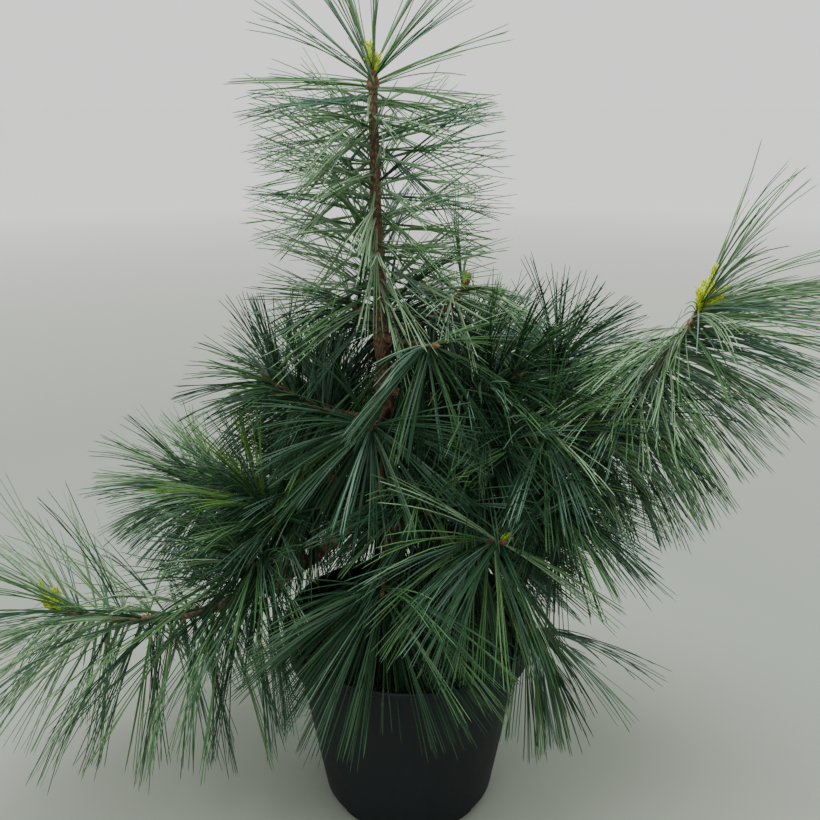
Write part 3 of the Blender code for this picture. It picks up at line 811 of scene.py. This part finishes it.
@dataclass
class Skeleton:
    """The trunk and shoots as lines, worked out by the source's rule."""

    top: float = 0.531
    lean: float = -0.011
    tip_share: float = 0.5
    steps: int = 64
    profile: tuple[Pair, ...] = ((0.0, 0.0118), (0.006, 0.0096), (0.018, 0.0078), (0.060, 0.0070),
                                 (0.150, 0.0058), (0.235, 0.0050), (0.262, 0.0040), (0.400, 0.0028))

    def trunk_axis(self, height: Array) -> Array:
        """Points of the trunk's centre line: upright at its foot and tip, leaning left in between."""
        share = ease((height - LEVEL) / (self.top - LEVEL))
        return np.stack((FOOT[0] + self.lean * share, FOOT[1] * (1 - share), height + 0 * share), -1)

    def trunk_radius(self, height: Array) -> Array:
        """The trunk's radius at a height, flared at the foot."""
        return np.interp(height - LEVEL, *np.transpose(self.profile))

    def lines(self) -> dict[str, Array]:
        """The shoots' centre lines, whose bearing and rise turn evenly along them.

        Returns:
            Each shoot's points, from its parent's centre line on, by its name.
        """
        found = {}
        share = evenly(self.steps)
        for shoot in SHOOTS:
            if shoot.parent == "trunk":
                start = self.trunk_axis(shoot.at)
            else:
                start = self.at(found[shoot.parent], np.array([shoot.at]))[0][0]
            bearing, rise = (first + (last - first) * share for first, last in (shoot.bearing, shoot.rise))
            steps = heading(bearing, rise) * (shoot.bare + shoot.clad) / self.steps
            found[shoot.name] = np.concatenate((start[None], start + np.cumsum(steps, 0)))
        return found

    def at(self, line: Array, lengths: Array) -> tuple[Array, Array]:
        """Places along a line.

        Args:
            line: its points.
            lengths: how far along it.

        Returns:
            The points and the directions there.
        """
        pieces = np.diff(line, axis=0)
        along = np.concatenate(([0.0], np.cumsum(np.linalg.norm(pieces, axis=1))))
        points = np.stack([np.interp(lengths, along, line[:, k]) for k in range(3)], -1)
        index = np.clip(np.searchsorted(along, lengths, side="right") - 1, 0, len(pieces) - 1)
        return points, unit(pieces[index])

    def joint_radius(self, shoot: Shoot) -> float:
        """A shoot's radius where its bare bough ends."""
        return shoot.radius * (1 - (1 - self.tip_share) * shoot.bare / (shoot.bare + shoot.clad))


@dataclass
class Bark:
    """The trunk, boughs and twigs with their relief."""

    skeleton: Skeleton
    lines: dict[str, Array]
    finish: Material
    ring_gap: float = 0.0011
    trunk_rings: int = 420
    trunk_columns: int = 56
    swelling: float = 0.0013
    depth: float = 0.00022
    scales: float = 0.10

    def build(self) -> None:
        """Puts in the trunk, the boughs and the twigs."""
        boughs = ["bough_" + s.name for s in SHOOTS]
        foliage = ["foliage_" + s.name for s in SHOOTS] + ["foliage_leader_top"]
        deliver(put("bark_trunk", self.trunk(), self.finish), "bark", "trunk")
        limbs = []
        twigs = []
        for number, shoot in enumerate(SHOOTS):
            line = self.lines[shoot.name]
            joint = self.skeleton.joint_radius(shoot)
            tip = shoot.radius * self.skeleton.tip_share
            limbs.append(self.limb(line, 0.0, shoot.bare + 0.0005, shoot.radius, joint, number, 20))
            twigs.append(self.limb(line, shoot.bare, shoot.bare + shoot.clad, joint, tip, number + 40, 16))
        top = self.skeleton.trunk_axis(np.linspace(self.skeleton.top - 0.001, self.skeleton.top + 0.016, 9))
        twigs.append(self.limb(top, 0.0, 0.0165, 0.0028, 0.0020, 90, 14))
        deliver(put("bark_boughs", joined(limbs), self.finish), "bark", *boughs)
        deliver(put("bark_twigs", joined(twigs), self.finish), "bark", *foliage)

    def trunk(self) -> Patch:
        """The trunk: rings about its axis, of the source's radius with flare lobes, swellings and relief.

        The lobes are 1 + 0.13 cos 4a + 0.07 cos 7a near the foot, a swelling stands on the side of each
        bough's foot, and the relief is upright ripples that fade up the leader.

        Returns:
            The closed trunk.
        """
        low = LEVEL - 0.002
        height = np.linspace(0, 1, self.trunk_rings) ** 1.15 * (self.skeleton.top - low) + low
        angle = circle(self.trunk_columns)
        above = (height - LEVEL)[:, None]
        lobes = 0.13 * np.cos(4 * angle + 0.7) + 0.07 * np.cos(7 * angle + 2)
        radius = self.skeleton.trunk_radius(height)[:, None] * (1 + lobes * (1 - ease(above / 0.022)))
        for shoot in SHOOTS:
            if shoot.parent == "trunk":
                toward = ease(0.5 + 0.5 * np.cos(angle - math.radians(shoot.bearing[0])))
                near = np.exp(-((height - shoot.at) / 0.0058) ** 2)[:, None]
                radius = radius + self.swelling * near * (0.35 + 0.65 * toward)
        old = 1 - ease((above - 0.16) / 0.10)
        rough = ripple(angle, height[:, None], 3, 26, 14, 0.010)
        fine = ripple(angle, height[:, None], 4, 30, 18, 0.0022)
        relief = np.clip(0.45 * rough * old + 0.6 * fine, -1, 1)
        radius = radius + relief * self.depth * (1 + old)
        centre = self.skeleton.trunk_axis(height)[:, None]
        return tube_patch(centre + about_z(radius, angle, 0.0), relief)

    def limb(self, line: Array, start: float, end: float, thick: float, thin: float, seed: int,
             columns: int) -> Patch:
        """One bough or twig: rings square to its line, swollen where it leaves its parent, with scaly relief.

        Args:
            line: the line's points.
            start: where along it the limb starts.
            end: where it ends.
            thick: radius at the start.
            thin: radius at the end.
            seed: fixes the relief.
            columns: points in a ring.

        Returns:
            The closed limb.
        """
        lengths = np.linspace(start, end, max(6, int((end - start) / self.ring_gap)))
        centre = self.skeleton.at(line, lengths)[0]
        ahead = unit(np.gradient(centre, axis=0))
        side, over = square_to(ahead, np.eye(3)[np.argmin(np.abs(ahead).max(0))])
        angle = circle(columns)
        radius = np.interp(lengths, (start, end), (thick, thin))[:, None]
        if start == 0:
            radius = radius * (1 + 0.55 * np.exp(-np.maximum(lengths - 0.0045, 0) / 0.0030))[:, None]
        relief = np.clip(0.6 * ripple(angle, lengths[:, None], seed, 22, 6, 0.0024), -1, 1)
        reach = (radius * (1 + self.scales * relief))[..., None]
        return tube_patch(centre[:, None] + reach * out_at(angle, side[:, None], over[:, None]), relief)


@dataclass
class Bundles:
    """Where bundles of needles stand: one row for each bundle, its side as a place in SIDES."""

    root: Array
    axis: Array
    first: Array
    length: Array
    side: Array
    fresh: Array
    pull: Array
    splay: Array


@dataclass
class Crown:
    """The needles: bundles of five in a golden-angle spiral along every clad stem."""

    skeleton: Skeleton
    lines: dict[str, Array]
    pot: Pot
    mix: Mix
    leader_density: float = 1250.0
    leader_foot: float = 0.384
    leader_needle: float = 0.094
    top_stem: float = 0.0145
    top_lift: float = 0.1
    top_bundles: int = 20
    droop: float = 0.40
    leader_droop: float = 0.22
    curl: float = 0.10
    needles_each: int = 5
    splay: float = 2.6
    leader_splay: float = 2.2
    top_splay: float = 0.9
    radius: float = 0.00045
    points: int = 8
    blunt: float = 0.965
    first_needle: float = 0.0020
    weakest: float = 0.68
    apart: float = 0.0004
    margin: float = 0.0009

    def stand(self, side: Side, root: Array, axis: Array, share: Array, spread: Array, length: Array,
              roll: Array, thick: Array, pull: Array, splay: float, fresh: float = 0.0, fold: float = 0.0,
              tumble: Triple = (0.0, 0.0, 0.0)) -> Bundles:
        """Bundles along one stem.

        A bundle's first direction is cos(spread) axis + sin(spread) out, where out turns round the stem by
        roll. A bundle whose pull all but cancels that direction is left out.

        Args:
            side: the crown's part.
            root: points on the stem's centre line.
            axis: the stem's direction there.
            share: place along the stem, 0 to 1.
            spread: angle from the axis in degrees.
            length: needle lengths.
            roll: turn about the stem in radians.
            thick: the stem's radius there.
            pull: what is added to each bundle's direction, one row for each or one for all.
            splay: how far the needles of a bundle open, in degrees.
            fresh: share of bundles that are new growth, near the stem's end.
            fold: how many degrees closer to the stem the upper needles lie, less towards its end.
            tumble: the way the upper needles have fallen over, from the first quarter on to near the end.

        Returns:
            The bundles.
        """
        across = np.cross(axis, -DOWN)
        steep = np.linalg.norm(across, axis=-1, keepdims=True) < 0.2
        across = unit(np.where(steep, np.cross(axis, (0.0, 1.0, 0.0)), across))
        out = out_at(roll, across, np.cross(across, axis))
        tilt = np.radians(spread - fold * out[:, 2] * (1 - share ** 2))[:, None]
        first = axis * np.cos(tilt) + out * np.sin(tilt)
        fallen = ease(2 * out[:, 2]) * ease(share * 6 - 1.6) * (1 - ease(share * 7 - 6.1))
        pull = pull + fallen[:, None] * np.array(tumble)
        kept = np.linalg.norm(first + pull, axis=1) > self.weakest
        foot = root + out * thick[:, None] * 0.75
        rows = (foot, axis, first, length, np.full(len(share), SIDES.index(side)),
                fresh * ease(share * 3 - 1), pull, np.full(len(share), splay))
        return Bundles(*(row[kept] for row in rows))

    def pull(self, shoot: Shoot, share: Array) -> Array:
        """What bends a shoot's needles: down by hang (1 - share cubed), outwards by sweep share cubed.

        Args:
            shoot: the shoot.
            share: place along it, 0 to 1.

        Returns:
            A row for each place.
        """
        away = self.lines[shoot.name][-1] - self.skeleton.trunk_axis(shoot.at)
        away[2] = 0
        late = share ** 3
        down = shoot.hang * (1 - late) + shoot.fall
        return DOWN * down[:, None] + unit(away) * (shoot.sweep * late)[:, None]

    def on_shoot(self, shoot: Shoot, dice: Dice) -> Bundles:
        """The bundles of a side shoot.

        Args:
            shoot: the shoot.
            dice: the random numbers.

        Returns:
            The bundles.
        """
        count = int(shoot.clad * shoot.density)
        share = evenly(count)
        joint = self.skeleton.joint_radius(shoot)
        lengths = shoot.bare + self.first_needle + (shoot.clad - self.first_needle) * share
        root, axis = self.skeleton.at(self.lines[shoot.name], lengths)
        foot, tip = shoot.spread
        spread = foot + (tip - foot) * share ** 2 + dice.normal(0, 10, count)
        size = shoot.needle * dice.uniform(0.84, 1.0, count) * (0.86 + 0.14 * ease(share * 6))
        roll = np.arange(count) * GOLDEN_TURN + dice.normal(0, 0.25, count)
        thick = joint + (shoot.radius * self.skeleton.tip_share - joint) * share
        return self.stand(shoot.side, root, axis, share, spread, size, roll, thick, self.pull(shoot, share),
                          self.splay, shoot.fresh, shoot.fold, shoot.tumble)

    def on_leader(self, dice: Dice) -> list[Bundles]:
        """The bundles round the trunk's upper part, and the tuft on its tip.

        Args:
            dice: the random numbers.

        Returns:
            The two sets of bundles.
        """
        clad = self.skeleton.top - self.leader_foot
        count = int(clad * self.leader_density)
        share = evenly(count)
        height = self.leader_foot + clad * share
        root = self.skeleton.trunk_axis(height)
        axis = unit(np.gradient(root, axis=0))
        spread = 80 + 8 * ease(share * 6 - 5) + dice.normal(0, 25, count) * (1 - 0.8 * ease(share * 5 - 4))
        size = self.leader_needle * dice.uniform(0.86, 1.0, count)
        roll = np.arange(count) * GOLDEN_TURN + dice.normal(0, 0.8, count)
        thick = self.skeleton.trunk_radius(height)
        stem = self.stand(Side.LEADER, root, axis, share, spread, size, roll, thick, 0 * axis,
                          self.leader_splay)
        count = self.top_bundles
        share = evenly(count)
        root = self.skeleton.trunk_axis(self.skeleton.top + self.top_stem * share)
        spread = 90 - 74 * share + dice.normal(0, 5, count)
        size = self.leader_needle * dice.uniform(0.86, 1.0, count)
        tuft = self.stand(Side.LEADER, root, np.tile(-DOWN, (count, 1)), share, spread, size,
                          np.arange(count) * GOLDEN_TURN, np.full(count, 0.0022), -DOWN * self.top_lift,
                          self.top_splay)
        return [stem, tuft]

    def held_off(self, before: Array, after: Array) -> Array:
        """Moves points off the floor, the mix and the pot's wall, the way a needle lies on what it meets.

        Args:
            before: the needles' points one step back.
            after: the points to be moved.

        Returns:
            The points, clear.
        """
        after = after.copy()
        flat = np.hypot(after[:, 0], after[:, 1])
        inner = self.pot.inner(after[:, 2]) - self.margin
        outer = self.pot.outer(after[:, 2]) + self.margin
        rim = self.pot.height + self.margin
        within = np.hypot(before[:, 0], before[:, 1]) < self.pot.rim - 0.002
        low = after[:, 2] < rim
        in_wall = low & (flat > inner) & (flat < outer)
        over_rim = in_wall & (before[:, 2] >= self.pot.height + self.margin * 0.9)
        after[over_rim, 2] = rim
        in_wall &= ~over_rim
        through = low & within & (flat >= outer) & (before[:, 2] < self.pot.height)
        for part, limit in ((in_wall & within, inner), (in_wall & ~within, outer), (through, inner)):
            after[part, :2] *= (limit / np.maximum(flat, 1e-6))[part, None]
        under = low & (np.hypot(after[:, 0], after[:, 1]) < inner)
        ground = self.mix.height(after[:, 0], after[:, 1]) + 0.0016
        after[under, 2] = np.maximum(after[:, 2], ground)[under]
        after[:, 2] = np.maximum(after[:, 2], ON_THE_FLOOR)
        return after

    def paths(self, rows: Bundles, dice: Dice) -> Array:
        """Each needle's points, one step after another.

        A step's direction is the first one plus the pull, a growing droop and a faint sideways curve.

        Args:
            rows: the bundles.
            dice: the random numbers.

        Returns:
            Bundles times needles, by points, by 3.
        """
        count = len(rows.root)
        each = self.needles_each
        across, over = square_to(rows.first, rows.axis + 0.01)
        turn = dice.uniform(0, TURN, (count, 1)) + np.arange(each) * TURN / each
        wide = rows.splay[:, None] * 2 * dice.uniform(0.2, 1, (count, 1)) ** 2.5
        open_by = np.radians(np.abs(wide * dice.normal(1, 0.3, (count, each))))[..., None]
        away = out_at(turn, across[:, None], over[:, None])
        first = unit(rows.first[:, None] * np.cos(open_by) + away * np.sin(open_by)).reshape(-1, 3)
        length = (rows.length[:, None] * dice.uniform(0.93, 1.0, (count, each))).reshape(-1)
        pull = np.repeat(rows.pull, each, 0)
        soft = np.where(rows.side == SIDES.index(Side.LEADER), self.leader_droop, self.droop)
        droop = np.repeat(soft, each)[:, None] * dice.uniform(0.5, 1.5, (count * each, 1))
        curl = dice.normal(0, self.curl, (count * each, 3))
        at = np.repeat(rows.root, each, 0) + self.apart * away.reshape(-1, 3)
        found = [at]
        bias = np.zeros_like(at)
        marks = np.append(np.linspace(0, self.blunt, self.points - 1), 1)
        for share, part in zip((marks[1:] + marks[:-1]) / 2, np.diff(marks)):
            step = (length * part)[:, None]
            free = at + unit(first + pull + DOWN * droop * share + curl * share + bias) * step
            moved = self.held_off(at, free)
            bias = bias + (moved - free) / step * 0.8
            at = self.held_off(at, at + unit(moved - at) * step)
            found.append(at)
        return np.stack(found, 1)

    def deal_tones(self, rows: Bundles, dice: Dice) -> Array:
        """Deals each bundle a tone. The tones are the needles' own colours, but dealing them by place paints
        shade inside the crown and light on its outside: mostly the deep shade one inside, paler ones further
        out.

        Args:
            rows: the bundles.
            dice: the random numbers.

        Returns:
            Each tone's place in the list of tones.
        """
        x, y, z = rows.root.T
        # inner is near 1 by the trunk below the top whorl. It weights the deal towards the deep shade tone
        # there, as painted shade, and towards the pale tone further out, as painted light.
        inner = np.exp(-(np.hypot(x + 0.015, y) / 0.15) ** 2) * (z < 0.392)
        chance = np.stack((0.02 + 0.98 * inner, 0.28 - 0.10 * inner, 0.32 - 0.10 * inner,
                           0.80 * (1 - inner) ** 3), -1)
        pick = dice.uniform(0, 1, (len(chance), 1)) * chance.sum(-1, keepdims=True)
        tone = (pick > np.cumsum(chance, -1)).sum(-1)
        tone[dice.uniform(0, 1, len(tone)) < rows.fresh] = list(Tone).index(Tone.FRESH)
        return tone

    def build(self) -> Bundles:
        """Puts in a piece for each tone of each part of the crown, kept within the solids' box.

        Returns:
            The bundles, which the husks stand on.
        """
        dice = np.random.default_rng(SEED)
        found = [self.on_shoot(shoot, dice) for shoot in SHOOTS] + self.on_leader(dice)
        rows = Bundles(*(np.concatenate([getattr(b, each.name) for b in found]) for each in fields(Bundles)))
        paths = self.paths(rows, dice)
        low, high = (np.array(corner) for corner in CAD_BOX)
        beyond = np.maximum(paths - high, low - paths).max((1, 2))
        shrink = np.clip(1 - (beyond + 0.001) / 0.09, 0.5, 1)
        paths = paths[:, :1] + (paths - paths[:, :1]) * shrink[:, None, None]
        paths[..., 2] = np.maximum(paths[..., 2], ON_THE_FLOOR)
        tone = np.repeat(self.deal_tones(rows, dice), self.needles_each)
        part = np.repeat(rows.side, self.needles_each)
        radius = self.radius * dice.uniform(0.88, 1.12, len(paths))
        twist = dice.uniform(0, TURN, len(paths))
        finishes = [NeedleFinish(t.value).material("needle_" + t.name.lower()) for t in Tone]
        for number, side in enumerate(SIDES):
            nodes = ["foliage_" + s.name for s in SHOOTS if s.side is side]
            if side is Side.LEADER:
                nodes = [n for n in frame["nodes"] if n.startswith("foliage_leader")]
            for index, kind in enumerate(Tone):
                chosen = (part == number) & (tone == index)
                if chosen.any():
                    patch = needle_patch(paths[chosen], radius[chosen], twist[chosen])
                    name = f"needles_{side.value}_{kind.name.lower()}"
                    deliver(put(name, patch, finishes[index], smooth=False), "needles", *nodes)
        return rows


@dataclass
class Husks:
    """Small brown scales at the foot of each bundle."""

    length: float = 0.0042
    width: float = 0.0012

    def build(self, rows: Bundles) -> None:
        """Puts a kite-shaped scale under each bundle, its tip standing off the stem.

        Each scale is a flat four-sided spindle: foot, two sides, two ridges and a tip.

        Args:
            rows: the bundles.
        """
        dice = np.random.default_rng(SEED + 3)
        count = len(rows.root)
        out = unit(rows.first - (rows.first * rows.axis).sum(-1, keepdims=True) * rows.axis)
        lift = unit(rows.axis * 0.9 + out * dice.uniform(0.25, 0.7, (count, 1)))
        size = self.length * dice.uniform(0.6, 1.1, (count, 1))
        foot = rows.root - lift * size * 0.35
        middle = foot + lift * size * 0.45
        across = np.cross(rows.axis, out)
        wide = across * self.width
        ridge = np.cross(lift, across) * self.width * 0.5
        points = (foot, middle + wide, middle - wide, middle + ridge, middle - ridge, foot + lift * size)
        faces = ((0, 3, 1), (0, 2, 3), (0, 4, 2), (0, 1, 4), (5, 1, 3), (5, 3, 2), (5, 2, 4), (5, 4, 1))
        patch = Patch(np.stack(points, 1).reshape(-1, 3), tris=copies(np.array(faces), count, len(points)))
        deliver(put("husks", patch, HuskFinish().material(), smooth=False), "bark")


@dataclass
class Buds:
    """The brown bud on each shoot and the yellow-green candles round some of them."""

    skeleton: Skeleton
    lines: dict[str, Array]
    bud_length: float = 0.010
    bud_radius: float = 0.0019
    candle_radius: float = 0.0016
    bracts_per_metre: float = 38 / 0.015
    bract_length: float = 0.0046
    bract_radius: float = 0.00038
    spare: Triple = (0.3, 0.9, 0.1)

    def spindle(self, foot: Array, ahead: Array, length: float, radius: float, seed: int) -> Patch:
        """A bud: a turned spindle with rows of overlapping scales.

        The radius at share u is R sin(pi (0.12 + 0.88 u)^0.75) to the 0.8 and steps out at each row.

        Args:
            foot: where it stands.
            ahead: the way it points.
            length: its length.
            radius: its greatest radius R.
            seed: turns its scales.

        Returns:
            The closed spindle.
        """
        u = np.linspace(0.0, 1.0, 26)[:, None]
        angle = circle(18)
        row = (u * 6 + 0.5 * (1 + np.cos(5 * angle + seed))) % 1
        body = np.sin(math.pi * (0.12 + 0.88 * u) ** 0.75) ** 0.8
        reach = (radius * (body * (0.86 + 0.22 * row) + 0.01))[..., None]
        grid = foot + (u * length)[..., None] * ahead + reach * out_at(angle, *square_to(ahead, self.spare))
        return tube_patch(grid, np.clip(row * 0.6 + 0.4 * u, 0, 1))

    def candle(self, foot: Array, ahead: Array, length: float, seed: int, yellow: float,
               dice: Dice) -> list[Patch]:
        """A candle: a slim spindle clad in a spiral of small bracts that lean out from it.

        Args:
            foot: where it stands.
            ahead: the way it points.
            length: its length.
            seed: turns its scales.
            yellow: how yellow it is, 0 to 1.
            dice: the random numbers.

        Returns:
            The spindle and the bracts.
        """
        core = self.spindle(foot, ahead, length, self.candle_radius, seed)
        core.relief = core.relief * yellow
        count = int(self.bracts_per_metre * length)
        u = evenly(count)
        out = out_at(np.arange(count) * GOLDEN_TURN + seed, *square_to(ahead, self.spare))
        lean = np.radians(dice.uniform(16, 34, (count, 1)) * (1.15 - 0.6 * u[:, None]))
        way = ahead * np.cos(lean) + out * np.sin(lean)
        root = foot + ahead * (u * length * 0.9)[:, None] + out * self.candle_radius * 0.6
        size = self.bract_length * dice.uniform(0.7, 1.15, (count, 1, 1))
        paths = root[:, None] + way[:, None] * size * np.linspace(0, 1, 4)[:, None]
        patch = needle_patch(paths, np.full(count, self.bract_radius), dice.uniform(0, TURN, count))
        kept = np.clip(u + dice.normal(0, 0.2, count), 0, 1)
        patch.relief = np.repeat(kept, len(patch.points) // count) * yellow
        return [core, patch]

    def build(self) -> None:
        """Puts in the buds and the candles; the first candle of a tip is the longest and the most upright."""
        dice = np.random.default_rng(SEED + 5)
        buds = []
        candles = []
        tips = [(self.lines[s.name][-1], unit(self.lines[s.name][-1] - self.lines[s.name][-2]), s.tip)
                for s in SHOOTS]
        tips.append((self.skeleton.trunk_axis(self.skeleton.top + 0.0155), -DOWN, Tip.LEADER))
        for number, (point, ahead, tip) in enumerate(tips):
            buds.append(self.spindle(point - ahead * 0.0015, ahead, self.bud_length, self.bud_radius, number))
            side, over = square_to(ahead, (0.2, 0.3, 0.93))
            # yellow is low for the shaded green tips, which paints shade into those candles.
            count, length, lean, rise, yellow = tip.value
            for k in range(count):
                out = out_at(k * GOLDEN_TURN + number, side, over)
                way = unit(ahead + out * lean * (0.35 if k == 0 else 1.0) - DOWN * rise)
                foot = point + out * 0.0018 - ahead * 0.0015 * k
                size = length * (1.25 if k == 0 else dice.uniform(0.65, 1.0))
                candles += self.candle(foot, way, size, 7 * k, yellow, dice)
        deliver(put("buds", joined(buds), HuskFinish().material()), "bark")
        deliver(put("candles", joined(candles), CandleFinish().material()), "needles")


@dataclass
class Studio:
    """A pale floor, soft lights and the photograph's camera.

    The floor's stops are shares of its reach, from under the plant to far off. A light is a name, a place, a
    size in metres and a power in watts.
    """

    lens_pixels: float = 893.0
    frame_pixels: float = 820.0
    sensor: float = 36.0
    place: Triple = (0.001, -0.591, 0.528)
    pitch: float = 19.6
    room: Triple = (0.98, 1.0, 0.97)
    room_strength: float = 1.15
    reach: float = 4.0
    # The floor's dip to its darkest stop, about half a metre out, is painted shade; further off the floor
    # lightens to the backdrop's colour.
    stops: tuple = ((0.06, (0.238, 0.262, 0.222)), (0.12, (0.212, 0.236, 0.206)),
                    (0.24, (0.250, 0.270, 0.240)), (0.46, (0.450, 0.465, 0.425)),
                    (1.0, (0.984, 0.989, 0.975)))
    lights: tuple = (("top", (-0.1, -0.15, 1.75), 1.0, 46), ("front", (-0.9, -1.5, 1.15), 0.9, 6),
                     ("far", (0.9, 1.1, 1.3), 0.9, 8))
    aim: Triple = (0.0, 0.0, 0.3)

    def build(self) -> None:
        """Puts in the floor, the lights, the world and the camera."""
        self.lay_floor()
        world = bpy.data.worlds.new("room")
        world.use_nodes = True
        inputs = world.node_tree.nodes["Background"].inputs
        inputs["Color"].default_value = (*self.room, 1)
        inputs["Strength"].default_value = self.room_strength
        bpy.context.scene.world = world
        for light in self.lights:
            self.hang_light(*light)
        data = bpy.data.cameras.new("camera")
        data.sensor_width = self.sensor
        data.lens = self.lens_pixels / self.frame_pixels * self.sensor
        bpy.context.scene.camera = self.stand(data, self.place, (math.radians(90 - self.pitch), 0, 0))

    def lay_floor(self) -> None:
        """Puts in the floor, a ring from the middle out to 40 metres."""
        grid = about_z(np.array(((0.001,), (40.0,))), circle(96), 0.0)
        index = np.arange(96)
        turn = np.roll(index, -1)
        quads = np.stack((index, index + 96, turn + 96, turn), -1)
        graph = Graph("floor", self.stops[0][1], 0.8, 0.1)
        away = graph.node("VectorMath", "Value", {0: graph.place()}, operation="LENGTH")
        graph.feed(graph.shader["Base Color"], graph.ramp(away * (1 / self.reach), *self.stops))
        put("floor", Patch(grid.reshape(-1, 3), quads), graph.material)

    def hang_light(self, name: str, place: Triple, size: float, power: float) -> None:
        """Adds a soft square light that faces the plant.

        Args:
            name: its name.
            place: where it hangs.
            size: the length of its side.
            power: its power in watts.
        """
        data = bpy.data.lights.new(name, "AREA")
        data.size = size
        data.energy = power
        ahead = unit(np.array(self.aim) - np.array(place))
        self.stand(data, place, (math.acos(-ahead[2]), 0, math.atan2(-ahead[0], ahead[1])))

    def stand(self, data: bpy.types.ID, place: Triple, turned: Triple) -> bpy.types.Object:
        """Adds an object for a light or the camera.

        Args:
            data: the light or the camera.
            place: where it stands.
            turned: its angles about X, Y and Z.

        Returns:
            The new object.
        """
        made = bpy.data.objects.new(data.name, data)
        made.location = place
        made.rotation_euler = turned
        bpy.context.scene.collection.objects.link(made)
        return made


def main() -> None:
    """Builds every piece in order."""
    logging.basicConfig(level=logging.INFO, format="%(name)s %(message)s")
    pot = Pot()
    pot.build()
    mix = Mix(pot)
    mix.build()
    skeleton = Skeleton()
    lines = skeleton.lines()
    Bark(skeleton, lines, BarkFinish().material()).build()
    rows = Crown(skeleton, lines, pot, mix).build()
    Husks().build(rows)
    Buds(skeleton, lines).build()
    Studio().build()


if __name__ == "__main__":
    main()
